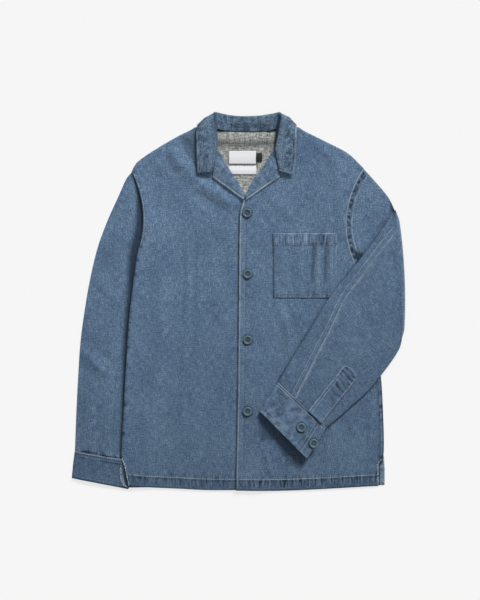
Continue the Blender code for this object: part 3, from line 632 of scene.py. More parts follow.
def denim(name, dark, middle, light, worn, contrast=1.0):
    """Washed twill: slubs along the warp, speckle, mottled fading, pale edges, and painted shade in hollows
    and under things.
    """
    n = Nodes(name)
    cloth = n.read("cloth", 1)
    slub = n.noise(cloth, 2.0, 13, 3)
    weft = n.noise(cloth, 11, 2.0, 2)
    speckle = n.noise(cloth, 2.2, 2.8, 1, 0.6)
    grain = n.noise(cloth, 9, 13, 3)
    mottle = n.noise(cloth, 60, 85, 3)
    parts = n.add("ShaderNodeSeparateXYZ", 0, i0=cloth)
    diagonal = n.total(parts, n.times(parts.node.outputs[1], TWILL_SLOPE))
    twill = n.math("SINE", n.times(diagonal, math.tau / TWILL_PITCH))
    tone = n.total(n.swing(slub, 1.0), n.swing(weft, 0.72), n.swing(speckle, 1.15),
                   n.swing(grain, 0.34), n.swing(mottle, 0.42), n.times(twill, 0.05))
    blue = n.ramp(n.total(n.times(tone, contrast), 0.5), dark, light, middle)
    # pale lines at edges and seams, rubbed places, and the crests of gathered ropes
    broken, patchy = n.noise(cloth, 2.4, 2.4, 2), n.noise(cloth, 26, 26, 1)
    line = n.times(n.window(n.read("edge"), 0.3, 2.3, 0.8, 0.0),
                   n.window(broken, 0.3, 0.6, 0.35, 1.0), n.window(patchy, 0.38, 0.6, 0.35, 1.0))
    rubbed = n.times(n.read("wear"), n.window(broken, 0.2, 0.75, 0.4, 1.0))
    gather = n.read("gather")
    ropes = n.noise(cloth, 3.6, 34, 2, 0.55)
    crest = n.times(gather, n.window(ropes, 0.54, 0.66, 0.0, 0.40))
    furrow = n.times(gather, n.window(ropes, 0.36, 0.48, 0.64, 0.0))
    pale = n.math("MAXIMUM", line, n.total(rubbed, crest), clamp=True)
    # painted shade: the points' painted shade and mottle, and the ropes' furrows, darken the colour
    hollow = n.math("ADD", n.read("painted_shade_and_mottle"), furrow, clamp=True)
    shade = n.blend(hollow, n.blend(pale, blue, (*worn, 1)), (*[c * 0.3 for c in dark], 1))
    n.set(Base_Color=shade, Roughness=0.92, Sheen_Weight=0.06, Sheen_Roughness=0.6,
          Specular_IOR_Level=0.18)
    n.bump(n.total(n.times(twill, 0.22), n.times(slub, 0.8), n.times(speckle, 1.3),
                   n.times(ropes, gather, 3.0)), 0.0004, 0.9)
    return n.material


def weft_side(name):
    """The pale inside of the cloth, where the undyed weft shows: uneven crosshatched threads."""
    n = Nodes(name)
    cloth = n.read("cloth", 1)
    along = n.noise(cloth, 2.2, 12, 2, 0.6)
    across = n.noise(cloth, 10, 2.4, 2, 0.6)
    patchy = n.noise(cloth, 5, 5, 3)
    tone = n.total(n.swing(along, 1.7), n.swing(across, 2.2), n.swing(patchy, 0.9), 0.5)
    grey = n.ramp(tone, (0.105, 0.115, 0.115), (0.52, 0.51, 0.46), (0.275, 0.285, 0.275))
    # painted shade from the points darkens the grey too
    n.set(Base_Color=n.blend(n.read("painted_shade_and_mottle"), grey, (0.05, 0.06, 0.07, 1)), Roughness=0.95,
          Specular_IOR_Level=0.15)
    n.bump(n.total(along, across), 0.0003, 0.8)
    return n.material


def button_finish(name, deep, pale):
    """Pressed resin the colour of dark water, a little clouded."""
    n = Nodes(name)
    cloud = n.noise(n.place(), 3.5, 3.5, 3)
    n.set(Base_Color=n.ramp(cloud, deep, pale), Roughness=0.5, Specular_IOR_Level=0.35)
    n.bump(cloud, 0.0001, 0.3)
    return n.material


def thread_finish(name, colour):
    """Twisted cotton thread, a little uneven in shade."""
    n = Nodes(name)
    place = n.place()
    deep, pale = ((*[c * (1 + change) for c in colour], 1) for change in (-0.35, 0.35))
    n.set(Base_Color=n.blend(n.noise(place, 4, 4, 2), deep, pale), Roughness=0.8,
          Specular_IOR_Level=0.2)
    n.bump(n.noise(place, 0.5, 0.5, 1), 0.0001, 0.5)
    return n.material


def woven_label(name, colour, shade):
    """Smooth satin tape with its fine crosswise threads."""
    n = Nodes(name)
    cloth = n.read("cloth", 1)
    threads = n.noise(cloth, 3.0, 0.6, 2)
    tone = n.total(n.times(threads, 0.6), n.times(n.noise(cloth, 9, 9, 2), 0.4))
    n.set(Base_Color=n.blend(tone, (*shade, 1), (*colour, 1)), Roughness=0.62,
          Specular_IOR_Level=0.3)
    n.bump(threads, 0.0001, 0.4)
    return n.material


DENIM = denim("denim", (0.028, 0.062, 0.118), (0.091, 0.153, 0.248), (0.215, 0.310, 0.415),
              (0.36, 0.46, 0.56))
DENIM_DEEP = denim("denim_deep", (0.018, 0.040, 0.078), (0.064, 0.111, 0.178), (0.170, 0.255, 0.355),
                   (0.36, 0.48, 0.59), 1.45)
REVERSE = weft_side("denim_reverse")
BUTTON = button_finish("button_rim", (0.044, 0.085, 0.115), (0.118, 0.182, 0.215))
# painted shade: the same resin made darker for the sunk dish
BUTTON_DISH_SHADED = button_finish("button_dish_shaded", (0.014, 0.032, 0.045), (0.052, 0.094, 0.115))
THREAD = thread_finish("thread_blue", (0.20, 0.28, 0.37))
THREAD_MUTED = thread_finish("thread_muted", (0.07, 0.11, 0.15))
THREAD_PALE = thread_finish("thread_pale", (0.42, 0.50, 0.56))
# painted shade: near black, for the buttons' holes and the buttonholes' slits
PAINTED_HOLE_SHADE = thread_finish("painted_hole_shade", (0.03, 0.05, 0.075))
LABEL_FINISHES = {
    "label_white": woven_label("label_white", (0.76, 0.775, 0.80), (0.66, 0.67, 0.70)),
    "label_black": woven_label("label_black", (0.016, 0.016, 0.018), (0.007, 0.007, 0.008)),
}


# ---------------------------------------------------------------- sewing
STITCH, STITCH_GAP, THREAD_RADIUS = 3.0, 0.9, 0.34


class Sewing:
    """Collects stitches and threads, to be joined into one mesh."""

    def __init__(self):
        self.points, self.faces, self.count = [], [], 0

    def strand(self, line, radius, sides=5):
        """A thin tube along points, its ends drawn to a tip."""
        line = np.asarray(line, float)
        ahead = unit(np.gradient(line, axis=0))
        side = unit(np.cross(ahead, np.array([0.03, 0.02, 1.0])))
        over = np.cross(side, ahead)
        n = len(line)
        taper = np.ones(n)
        taper[0] = taper[-1] = 0.35
        turn = (math.tau * np.arange(sides) / sides)[None, :, None]
        ring = np.cos(turn) * side[:, None] + np.sin(turn) * over[:, None]
        self.points.append((line[:, None] + ring * (radius * taper)[:, None, None]).reshape(-1, 3))
        for r in range(n - 1):
            for k in range(sides):
                a, b = self.count + r * sides + k, self.count + r * sides + (k + 1) % sides
                self.faces.append((a, a + sides, b + sides, b))
        self.faces.append(tuple(self.count + k for k in range(sides)))
        self.faces.append(tuple(self.count + (n - 1) * sides + k for k in reversed(range(sides))))
        self.count += n * sides

    def run(self, line, seed):
        """A row of stitches along a plan line, each dipping into the cloth at both ends."""
        line = even(np.asarray(line, float), max(4, int(path_length(line))))
        total = path_length(line)
        lengths = np.linspace(0, total, len(line))
        chance = np.random.default_rng(seed)
        at = 0.4
        while at + STITCH < total:
            spots = at + STITCH * np.array([0.0, 0.25, 0.75, 1.0])
            x = np.interp(spots, lengths, line[:, 0])
            y = np.interp(spots, lengths, line[:, 1])
            z = relief.at(np.stack([x, y], -1))
            z = np.maximum(z, z.mean() - 0.3) + 0.15 + np.array([-0.25, 0.12, 0.12, -0.25])
            self.strand(np.stack([x, y, z], -1), THREAD_RADIUS * chance.uniform(0.85, 1.1))
            at += STITCH + STITCH_GAP * chance.uniform(0.8, 1.2)

    def done(self, name, material):
        """Makes the mesh."""
        made = make_mesh(name, np.concatenate(self.points), self.faces, [material])


def path_length(line):
    """The length of a polyline."""
    return float(np.linalg.norm(np.diff(np.asarray(line, float), axis=0), axis=1).sum())


def beside(line, distance):
    """The plan line moved sideways: to its left where distance is positive."""
    line = np.asarray(line, float)
    ahead = unit(np.gradient(line, axis=0))
    return line + np.stack([-ahead[:, 1], ahead[:, 0]], -1) * distance


# ---------------------------------------------------------------- tubes
EDGE_MARKS = np.array([0.0, 0.35, 1.0, 2.0, 3.2])       # points near a tube's edge, mm from it
INNER = 40                                              # steps between those of its two edges


def inward_normals(rows):
    """Plan directions in which each ring leaves the tube's two edges."""
    starts, ends = np.array([r[0] for r in rows], float), np.array([r[1] for r in rows], float)
    across = (ends - starts).sum(0)
    pair = []
    for line, sense in ((starts, 1), (ends, -1)):
        edge = unit(np.gradient(line, axis=0))
        normal = np.stack([-edge[:, 1], edge[:, 0]], -1)
        sign = np.sign((normal @ across) * sense)
        pair.append(normal * np.where(sign == 0, 1, sign)[:, None])
    return list(zip(*pair))


def ring_plan(start, end, bow, inward=None):
    """Plan points of one ring from edge to edge, their shares of the width, and their rise."""
    start, end = np.array(start, float), np.array(end, float)
    length = float(np.hypot(*(end - start)))
    along = (end - start) / length
    leave_start, leave_end = inward if inward is not None else (along, -along)
    first = EDGE_MARKS[-1] / length
    t = first + (1 - 2 * first) * np.arange(1, INNER) / INNER
    plan = np.concatenate([start + EDGE_MARKS[:, None] * leave_start, bowed(start, end, bow, t),
                           (end + EDGE_MARKS[:, None] * leave_end)[::-1]])
    share = np.concatenate([EDGE_MARKS / length, t, (1 - EDGE_MARKS / length)[::-1]])
    rise = np.sqrt(1 - (1 - EDGE_MARKS / EDGE_MARKS[-1]) ** 2)
    rise = np.concatenate([rise, np.ones(INNER - 1), rise[::-1]])
    return plan, share, rise


def tube_grid(one, two):
    """Two layers of a flattened tube joined into closed rings."""
    return np.concatenate([one, two[:, -2:0:-1]], axis=1)


def tube_layers(plan, rise, spread, thickness):
    """The upper and the under points of a ring of a tube that lies on the ground."""
    return [np.column_stack([plan, thickness / 2 + spread / 2 * (1 + side * rise)]) for side in (1, -1)]


def close_tube(name, layers, layer_fields, thickness):
    """The wall of a flattened tube, from its two layers and the values at their points."""
    grid = tube_grid(*layers)
    one, two = layer_fields
    fields = {k: tube_grid(one[k], two[k]) for k in one}
    outward = grid - grid.mean(axis=1, keepdims=True)
    return wall(name, grid, thickness, [DENIM, REVERSE], fields, True, outward), grid


def body_edge(y):
    """X of the body's right side edge."""
    line = join(smooth(SIDE_RIGHT, 60), armhole(ARMHOLE_RIGHT, 30))
    return np.interp(y, line[:, 1], line[:, 0])


# ================================================================ the pieces
sewing = Sewing()           # tone on tone topstitching
pale_sewing = Sewing()      # where the thread has faded almost white
slit_shade_sewing = Sewing()      # painted shade: dark strands along the slits of the buttonholes

# ---------------------------------------------------------------- right sleeve and cuff
SLEEVE_RIGHT_CREASES = (
    # x, y          x, y          half width, height
    ((-316, -96), (-262, -150), 13, 2.4),
    ((-300, -78), (-248, -128), 12, -1.8),
    ((-312, -128), (-276, -172), 12, -1.6),
    ((-290, 60), (-236, -10), 22, 1.8),
    ((-276, 96), (-238, 150), 20, 2.0),
    ((-262, 150), (-226, 196), 16, -1.4),
    ((-250, -40), (-262, -250), 20, 1.6),
    ((-300, -180), (-306, -280), 15, 1.8),
    ((-284, -200), (-282, -296), 9, -1.5),
    ((-262, -250), (-258, -306), 8, 1.6),
    ((-312, -262), (-309, -300), 6, 1.6),
    ((-240, -262), (-236, -312), 7, -1.4),
    ((-230, 120), (-218, 20), 15, -1.6),
)
SLEEVE_GAPS = (
    # where the sleeve gapes above the cuff's seam, painted dark as the shade inside the gap: middle line,
    # half height
    (((-320, -302), (-302, -301.5), (-281, -305)), 2.8),
    (((-277, -308.5), (-257, -312), (-238, -316)), 1.5),
)
SLEEVE_RIGHT_ROWS = 150
SLEEVE_RIGHT_TURN = math.radians(-10)      # of the cloth's threads


def sleeve_right_marks(plan, away, pucker):
    """The right sleeve's pale lines, and its painted shade: in the puckers, beside the body and in the gaps
    above the cuff.
    """
    edge = stripe(away, 6, 0.9)
    painted_shade_and_mottle = 0.35 * clamp(-pucker)
    # painted shadow: the sleeve darkened in a trench beside the body's edge, which stands over it
    beside_body = body_edge(plan[..., 1]) - plan[..., 0]
    reach = np.interp(plan[..., 1], (-320, -200, 0, 120, 180, 212, 245), (6, 9, 17, 25, 19, 11, 5))
    full = np.interp(plan[..., 1], (-320, 0, 110, 225, 254), (0.05, 0.10, 0.45, 0.45, 0.25))
    painted_shade_and_mottle += 0.84 * ease((reach - beside_body) / ((1 - full) * reach))
    # painted shade inside each gap, with a pale rim above it
    for line, half_height in SLEEVE_GAPS:
        from_gap, gap_run = near(plan, line)
        lens = half_height * np.sin(np.pi * clamp(gap_run / path_length(line)))
        painted_shade_and_mottle += 0.85 * ease((lens - from_gap) / 1.2 + 0.5) * (lens > 0)
        rim = np.abs(from_gap - lens - 1.4) + 0.7
        edge = np.minimum(edge, np.where((from_gap < lens + 3) & (lens > 0.8), rim, NO_EDGE))
    return edge, painted_shade_and_mottle


def make_sleeve_right():
    """The right sleeve: a flattened tube beside the body, fuller along its outer side."""
    rows = smooth([np.r_[a, b, bow] for a, b, bow in SLEEVE_RIGHT], SLEEVE_RIGHT_ROWS)
    inwards = inward_normals([(row[:2], row[2:4]) for row in rows])
    layers, free = [], []
    for row, inward in zip(rows, inwards):
        plan, share, rise = ring_plan(row[:2], row[2:4], row[4], inward)
        outside = body_edge(plan[:, 1]) - PUFF_START - plan[:, 0]
        spread = FLAT_LAYERS + SLEEVE_PUFF * ease(outside / PUFF_WIDTH) * ease(share * 4)
        layers.append(tube_layers(plan, rise, spread, CLOTH))
        free.append(rise * ease(outside / 12 + 0.4))
    over, under = np.array(layers).transpose(1, 0, 2, 3)
    plan = over[..., :2]
    creases = ridges(plan, SLEEVE_RIGHT_CREASES, 5)
    creases += 1.0 * noise(plan[..., 0], plan[..., 1], 34, 21, 2.2)
    creases += 0.4 * noise(plan[..., 0], plan[..., 1], 13, 22, 1.6)
    away, along = near(plan, CUFF_RIGHT[0])
    pucker = bell(away, 15) * noise(along, away * 0.2, 7.5, 23)
    creases += 0.9 * pucker
    over[..., 2] += np.maximum(creases, -2.2) * np.array(free)
    edge, painted_shade_and_mottle = sleeve_right_marks(plan, away, pucker)
    wear = 0.16 * bell(away, 7) + 0.10 * clamp(pucker)
    fields = (cloth_fields(plan, SLEEVE_RIGHT_TURN, edge, wear, painted_shade_and_mottle, 0.8 * bell(away, 9)),
              cloth_fields(plan, SLEEVE_RIGHT_TURN))
    relief.add(over, CLOTH / 2)
    return close_tube("sleeve_right_cloth", (over, under), fields, CLOTH)


CUFF_ROWS, CUFF_DEPTH = 34, 56      # of the right cuff: rows of its grid, and mm
CUFF_RIGHT_TURN = math.radians(80)


def make_cuff_right():
    """The right cuff: a flat band, raised along its seam and rubbed pale at its rim."""
    layers = []
    for row in smooth([np.r_[a, b] for a, b in CUFF_RIGHT], CUFF_ROWS):
        plan, share, rise = ring_plan(row[:2], row[2:4], 0)
        spread = 2.6 + 1.8 * ease((0.8 - share) * 4) * ease(share * 6)
        layers.append(tube_layers(plan, rise, spread, CUFF_WALL))
    over, under = np.array(layers).transpose(1, 0, 2, 3)
    plan = over[..., :2]
    from_seam, along = near(plan, plan[0])
    from_rim, _ = near(plan, plan[-1])
    over[..., 2] += 0.35 * noise(plan[..., 0], plan[..., 1], 26, 31)
    over[..., 2] += 0.5 * bell(from_seam - 1.8, 2.2) - 0.45 * bell(from_seam - 6, 1.6)
    over[..., 2] -= 0.35 * bell(from_rim - 5, 1.6)
    # painted shade in the puckers below the seam and along the rim, over a cuff a little darker all over
    painted_shade_and_mottle = 0.10 + 0.65 * bell(from_seam - 10, 1.8) * clamp(wave(along, 2.6, 33) * 1.5 + 0.3)
    painted_shade_and_mottle += 0.35 * bell(from_rim - 1, 2.2)
    edge = np.minimum(stripe(from_seam, 8, 0.9), from_rim + 1.6)
    wear = 0.2 * bell(from_seam, 2.4)
    fields = (cloth_fields(plan, CUFF_RIGHT_TURN, edge, wear, painted_shade_and_mottle), cloth_fields(plan, CUFF_RIGHT_TURN))
    relief.add(over, CUFF_WALL / 2)
    shown = slice(EDGE_MARKS.size, -EDGE_MARKS.size)
    for distance, thread in ((2.2, pale_sewing), (7.6, sewing)):
        row = int(round(distance / CUFF_DEPTH * CUFF_ROWS))
        thread.run(plan[row, shown], int(distance))
    sewing.run(plan[CUFF_ROWS - 3, shown], 5)
    return close_tube("cuff_right_cloth", (over, under), fields, CUFF_WALL)


# ---------------------------------------------------------------- collar
COLLAR_LOWEST = DOUBLE / 2 + 0.2
MEASURED_COLUMN = 16        # of the collar's grid, where its run is measured


def collar_section(seam, roll, stand, fall, middle, edge):
    """The points of one station of the collar, from the seam over the roll to the edge."""
    seam, middle, edge = np.array(seam, float), np.array(middle, float), np.array(edge, float)
    apex = np.array([*roll, (stand + fall) / 2], float)
    radius = abs(fall - stand) / 2
    radius += max(0.0, TIGHT_ROLL - radius) * ROLL_OPENING
    to_seam, to_middle = (seam - apex)[:2], (middle - apex)[:2]
    inward = unit(to_seam) * min(radius, np.hypot(*to_seam) * 0.6)
    outward = unit(to_middle) * radius
    low_point = np.array([*(apex[:2] + inward), stand])
    high_point = np.array([*(apex[:2] + outward), fall])
    rounding = (apex - (low_point + high_point) / 2) * 0.2
    return [seam, (seam + low_point) / 2, low_point, (low_point + apex) / 2 + rounding, apex,
            (high_point + apex) / 2 + rounding, high_point, high_point * 0.4 + middle * 0.6, middle,
            middle * 0.45 + edge * 0.55, edge]


def collar_grid():
    """The collar's middle surface, on a finer grid than its solid's."""
    sections = np.array([collar_section(*station) for station in COLLAR])
    grid = curve(sections, 6)
    grid = curve(grid.transpose(1, 0, 2), 4).transpose(1, 0, 2)
    grid[..., 2] = np.maximum(grid[..., 2], COLLAR_LOWEST)
    return grid


def collar_marks(grid, run, from_seam, border):
    """The collar's pale edge, streaked stand and mottled leaves, and painted shade in its hollows."""
    x, y = grid[..., 0], grid[..., 1]
    edge = np.minimum(np.abs(border - 1.2) + np.where(x < 0, 0.2, -0.9), stripe(from_seam, 2.5, 0.8))
    wear = 0.16 * bell(from_seam - 33, 5) + 0.10 * clamp(noise(run, from_seam, 7, 44))
    dashes = clamp(noise(run + from_seam * 0.7, border, 2.6, 45) + 0.5)
    painted_shade_and_mottle = 0.5 * bell(border - 4.6, 1.1) * dashes
    blotch = 0.8 * noise(run, from_seam, 6.5, 47, 1.4) + 0.8 * noise(run, from_seam, 3.0, 48)
    leaf = ease((from_seam - 34) / 8)
    painted_shade_and_mottle += leaf * (0.04 + 0.5 * clamp(blotch))
    wear += leaf * 0.38 * clamp(-blotch)
    stand = ease(clamp(1 - from_seam / 26) * 3)
    painted_shade_and_mottle += (0.10 + 0.42 * clamp(noise(run, from_seam * 0.15, 5.5, 46) + 0.1)) * stand
    wear += 0.45 * clamp(noise(run, from_seam * 0.25, 4.6, 49) - 0.15) * stand
    # painted shade inside the roll at +x, where the stand lies in shadow
    hollow_start = np.interp(y, (303, 324, 347, 366), (67, 72, 75, 79))
    inner_right = ease((x - hollow_start + 1) / 2) * ease((y - 290) / 20)
    painted_shade_and_mottle += 0.8 * inner_right * ease((376 - y) / 8) * ease((24 - from_seam) / 4)
    return edge, wear, painted_shade_and_mottle


def finish_collar(grid):
    """Adds the collar's puckers, piped edge and seams, and makes it."""
    rows, columns = grid.shape[:2]
    across = np.r_[0, np.cumsum(np.linalg.norm(np.diff(grid, axis=1), axis=2).mean(0))]
    along = lengths_along(grid[:, MEASURED_COLUMN])
    from_seam = np.broadcast_to(across, (rows, columns))
    run = np.broadcast_to(along[:, None], (rows, columns))
    border = np.minimum(across[-1] - from_seam, np.minimum(run, along[-1] - run))
    normals = grid_normals(grid)
    upward = 1.0 if normals[rows // 12, -6, 2] > 0 else -1.0       # tried on the right leaf
    ripple = 0.35 * noise(run, from_seam, 9, 41, 1.4) + 0.3 * noise(run, from_seam, 22, 42, 1.5)
    ripple += 0.5 * bell(border - 1.6, 1.6) - 0.5 * bell(border - 5.2, 1.4)
    ripple += 0.35 * bell(border, 9) * noise(run + from_seam, border * 0.3, 5, 43)
    grid = grid + normals * (upward * ripple * 0.7)[..., None]
    # the stand's lower edge comes down on the inside of the back, behind the neck
    behind = ease((48 - np.abs(grid[..., 0] - STAND_MIDDLE)) / 14) * ease((10 - from_seam) / 8)
    seated = relief.at(grid[..., :2]) + GAP + DOUBLE / 2
    grid[..., 2] += (np.minimum(seated, grid[..., 2]) - grid[..., 2]) * behind
    grid[..., 2] = np.maximum(grid[..., 2], COLLAR_LOWEST)
    edge, wear, painted_shade_and_mottle = collar_marks(grid, run, from_seam, border)
    fields = cloth_fields(np.stack([run, from_seam], -1), math.radians(90), edge, wear, painted_shade_and_mottle,
                          height=grid[..., 1])
    return wall("collar_cloth", grid, DOUBLE, [DENIM_DEEP, DENIM_DEEP], fields), grid


# ---------------------------------------------------------------- panels
# Steps along each border line, before they are made finer
VENT_STEPS, SIDE_STEPS, HOLE_STEPS = 2, 14, 7
EDGE_STEPS, ROLL_STEPS, FRONT_NECK_STEPS, FRONT_ACROSS = 17, 4, 2, 13
SHOULDER_STEPS, NECK_STEPS = 12, 14
FINE, FINE_ACROSS = 13, 11  # of the fronts
BACK_FINE = 5
SETTLE_PASSES = 260         # how long a front is drawn smooth over what it lies on


def side_line(vent, side, hole, inset, fine):
    """A panel's side from its hem to the top of its armhole."""
    line = join(smooth(vent, VENT_STEPS * fine), smooth([vent[-1]] + side, SIDE_STEPS * fine),
                armhole(hole, HOLE_STEPS * fine))
    return line + np.array([inset, 0.0])


def turn_blue(made, lines):
    """Shows the cloth's right side where the back is turned in: each line with its hem's width."""
    faces = made.data.polygons
    centres = np.empty(len(faces) * 3)
    faces.foreach_get("center", centres)
    plan = centres.reshape(-1, 3)[:, :2] / MM - SHIFT[:2]
    kinds = np.empty(len(faces), np.int32)
    faces.foreach_get("material_index", kinds)
    for line, width in lines:
        kinds[near(plan, line)[0] < width] = 1
    faces.foreach_set("material_index", kinds)


def make_back():
    """The back panel: its pale inside looks up through the neck, its right side lies down."""
    fine = BACK_FINE
    start = side_line(BACK_VENT_RIGHT, SIDE_RIGHT, ARMHOLE_RIGHT, BACK_INSET, fine)
    end = side_line(BACK_VENT_LEFT, SIDE_LEFT, ARMHOLE_LEFT, -BACK_INSET, fine)
    head = join(smooth(SHOULDER_RIGHT, SHOULDER_STEPS * fine), smooth(NECK_BACK, NECK_STEPS * fine),
                smooth(SHOULDER_LEFT[::-1], SHOULDER_STEPS * fine))
    head[0], head[-1] = start[-1], end[-1]
    foot = smooth([tuple(start[0])] + HEM_BACK[1:-1] + [tuple(end[0])], len(head) - 1)
    plan = patch(foot, head, start, end)
    x, y = plan[..., 0], plan[..., 1]
    grid = lay(plan, CLOTH, 7, 12)
    on_the_table = grid[..., 2] < CLOTH / 2 + GAP + 0.05
    grid[..., 2] = np.where(on_the_table, CLOTH / 2, grid[..., 2])
    away, _ = near(plan, smooth(NECK_BACK, 60))
    painted_shade_and_mottle = 0.72 * bell(away - 22, 7) + 0.10 * bell(away, 4)
    vents = [line[:VENT_STEPS * fine + 1] for line in (start, end)]
    from_vent = np.minimum(*[near(plan, vent)[0] for vent in vents])
    from_foot, foot_run = near(plan, foot)
    turned_in = (from_vent < VENT_HEM) | (from_foot < HEM_WIDTH)
    # painted shade on the turned-in strips in the gap beside the fronts' vents, with darker mottling
    gap = np.minimum(*[near(plan, vent)[0] for vent in (FRONT_VENT_RIGHT, FRONT_VENT_LEFT)])
    hollow = np.where(x < 0, ease((7.5 - gap) / 3), ease((4.2 - gap) / 2))
    painted_shade_and_mottle += turned_in * (0.86 * hollow + 0.4 * clamp(noise(foot_run, from_foot, 4, 55)))
    frayed = clamp(0.32 + 1.1 * noise(x * 0.6 + y, x - y * 0.4, 3.6, 56))
    edge = np.where(turned_in, from_vent * 0.8 - 0.5, NO_EDGE)
    fields = cloth_fields(plan, 0.0, edge, 0.9 * turned_in * frayed * (1 - 0.8 * hollow), painted_shade_and_mottle)
    made, grid = lay_piece("back_panel_cloth", grid, CLOTH, [REVERSE, DENIM], fields)
    turn_blue(made, [(foot, HEM_WIDTH)] + [(vent, VENT_HEM) for vent in vents])
    return made, grid


# Outlines of painted shade, corners clockwise: the hollow under the left arm, the shadow that the left cuff
# casts, the hollow beside the collar's right leaf and the hollow at the top of the left sleeve's fold
UNDERARM_HOLLOW = ((229, 102), (252, 95), (239, 75))
CUFF_SHADE = (
    ((39, -212), (90, -260), (80, -280), (44, -278)),
    ((60, -236), (142, -308), (124, -338), (102, -328), (84, -298), (68, -272)),
)
COLLAR_SHADE = ((-116, 324), (-80, 342), (-82, 256), (-96, 288))
FOLD_HOLLOW = ((303, 200), (318, 186), (312, 168), (304, 184))
FRONT_RIGHT_CREASES = (
    # x, y          x, y          half width, height
    ((-147, 312), (-80, 236), 22, 3.8),
    ((-80, 236), (-6, 190), 20, 4.2),
    ((-104, 226), (-30, 172), 18, -2.1),
    ((-118, 336), (-92, 284), 16, -2.6),
    ((-176, 292), (-140, 250), 20, 1.4),
    ((-196, 196), (-204, 60), 24, 4.2),
    ((-170, 210), (-176, 80), 18, -1.4),
    ((-101, 130), (-104, -60), 10, 2.0),
    ((-88, 120), (-92, -60), 9, -1.6),
    ((-104, -60), (-117, -258), 10, 1.9),
    ((-92, -70), (-105, -250), 8, -1.3),
    ((-50, 110), (-40, -40), 26, 1.3),
    ((-150, 30), (-164, -140), 24, 1.4),
    ((-196, -60), (-206, -210), 18, 1.8),
    ((-60, -150), (-52, -320), 24, 1.3),
    ((-176, -230), (-182, -330), 18, 1.3),
    ((-20, 150), (-12, 40), 14, 1.1),
)
FRONT_LEFT_CREASES = (
    ((205, 250), (214, 120), 26, 2.4),
    ((150, 330), (205, 262), 24, 2.6),
    ((60, 214), (104, 170), 18, 1.8),
    ((30, 196), (60, 150), 12, -1.3),
    ((93, 2), (121, -92), 12, -1.9),
    ((76, 10), (104, -90), 13, 1.8),
    ((52, -290), (66, -352), 12, 2.4),
    ((76, -300), (84, -356), 10, -1.8),
    ((104, -310), (100, -366), 11, 2.4),
    ((40, 60), (44, -80), 20, 1.1),
    ((46, -120), (36, -260), 20, 1.3),
    ((226, -210), (238, -330), 22, 1.4),
    ((262, -180), (268, -300), 14, 1.4),
    ((180, -300), (176, -366), 14, 1.3),
    ((228, 190), (222, 120), 12, -1.4),
    ((50, 130), (58, 60), 14, 1.0),
)


def front_plan(sides, inner_lines, inward):
    """A front's grid in the plan, and the lines of its border."""
    vent, side, hole, hem, shoulder = sides
    edge, roll, neck = inner_lines
    start = side_line(vent, side, hole, 0.0, FINE)
    vent_end, hole_rows, edge_end = VENT_STEPS * FINE, HOLE_STEPS * FINE, EDGE_STEPS * FINE
    lap = 0.6 if inward > 0 else 2.5        # the front laps over the sleeve along the armhole
    start[-hole_rows - 1:, 0] -= inward * lap * np.sin(np.pi * np.arange(hole_rows + 1) / hole_rows)
    roll = [(x - inward * ROLL_ROOM, y) for x, y in roll]
    inner = join(smooth(edge, edge_end), smooth([edge[-1]] + roll, ROLL_STEPS * FINE),
                 smooth([roll[-1]] + neck, FRONT_NECK_STEPS * FINE))
    foot, head = (smooth(line, FRONT_ACROSS * FINE_ACROSS) for line in (hem, shoulder))
    head[0] = start[-1]
    lines = {"side": start[vent_end:], "vent": start[:vent_end + 1], "hem": foot, "head": head,
             "hole": start[-hole_rows - 1:], "edge": inner[:edge_end + 1]}
    return patch(foot, head, start, inner), lines


def front_places(plan, lines, inward, seed):
    """Distances from a front's border lines and along them, and how the stitching draws it up."""
    at = SimpleNamespace(plan=plan, x=plan[..., 0], y=plan[..., 1])
    for key, line in lines.items():
        away, run = near(plan, line)
        setattr(at, key, away)
        setattr(at, key + "_run", run)
    at.rope = noise(at.hem_run + at.hem * 0.12, at.hem * 0.3, 4.0, seed + 5) * ease((at.hem - 3) / 3)
    at.band = ease((HEM_WIDTH + 0.5 - at.hem) / 2)
    at.above = bell(at.hem - HEM_WIDTH, 9) * (at.hem > HEM_WIDTH)
    at.tug = wave(at.hole_run, 5.5, seed + 8)
    at.seam = 2.6 if inward > 0 else 7.2        # from the armhole to the middle of its seam
    return at


def front_folds(at, creases, seed):
    """Height of a front's soft folds, hem, stitched edge and puckers over the smooth cloth."""
    soft = ridges(at.plan, creases, seed)
    soft += 1.3 * noise(at.x, at.y, 46, seed + 1, 1.7) + 0.75 * noise(at.x, at.y, 21, seed + 2, 1.8)
    soft += 0.22 * noise(at.x, at.y, 9, seed + 3, 1.5)
    border = np.minimum.reduce([at.side, at.head, at.edge, at.hem])
    soft *= ease(border / 26 + 0.08)
    # hem: folded twice, pulled by its stitching into slanting ropes
    soft += 0.9 * at.band - 0.7 * bell(at.hem - HEM_WIDTH + 1, 1.8)
    soft += 0.55 * at.rope * at.band * ease(at.hem / 5)
    soft += 0.45 * at.above * wave(at.hem_run, 9, seed + 6)
    # front edge: two layers, stitched 11 mm in
    soft += 0.9 * ease((12 - at.edge) / 3) - 0.45 * bell(at.edge - 11.5, 1.6)
    soft += 0.18 * bell(at.edge - 8, 7) * wave(at.edge_run, 9, seed + 7)
    # armhole and side seam
    soft += 0.55 * bell(at.hole - 3, 6) * at.tug
    soft -= 0.45 * bell(at.hole - 7.5, 1.6)
    soft += 0.35 * bell(at.side - 3, 6) * wave(at.side_run, 11, seed + 9)
    return soft


def round_down(away, radius):
    """Share of the drop of cloth that rounds down to an edge: 1 at the edge, 0 at the radius."""
    return 1 - np.sqrt(1 - (1 - clamp(away / radius)) ** 2)


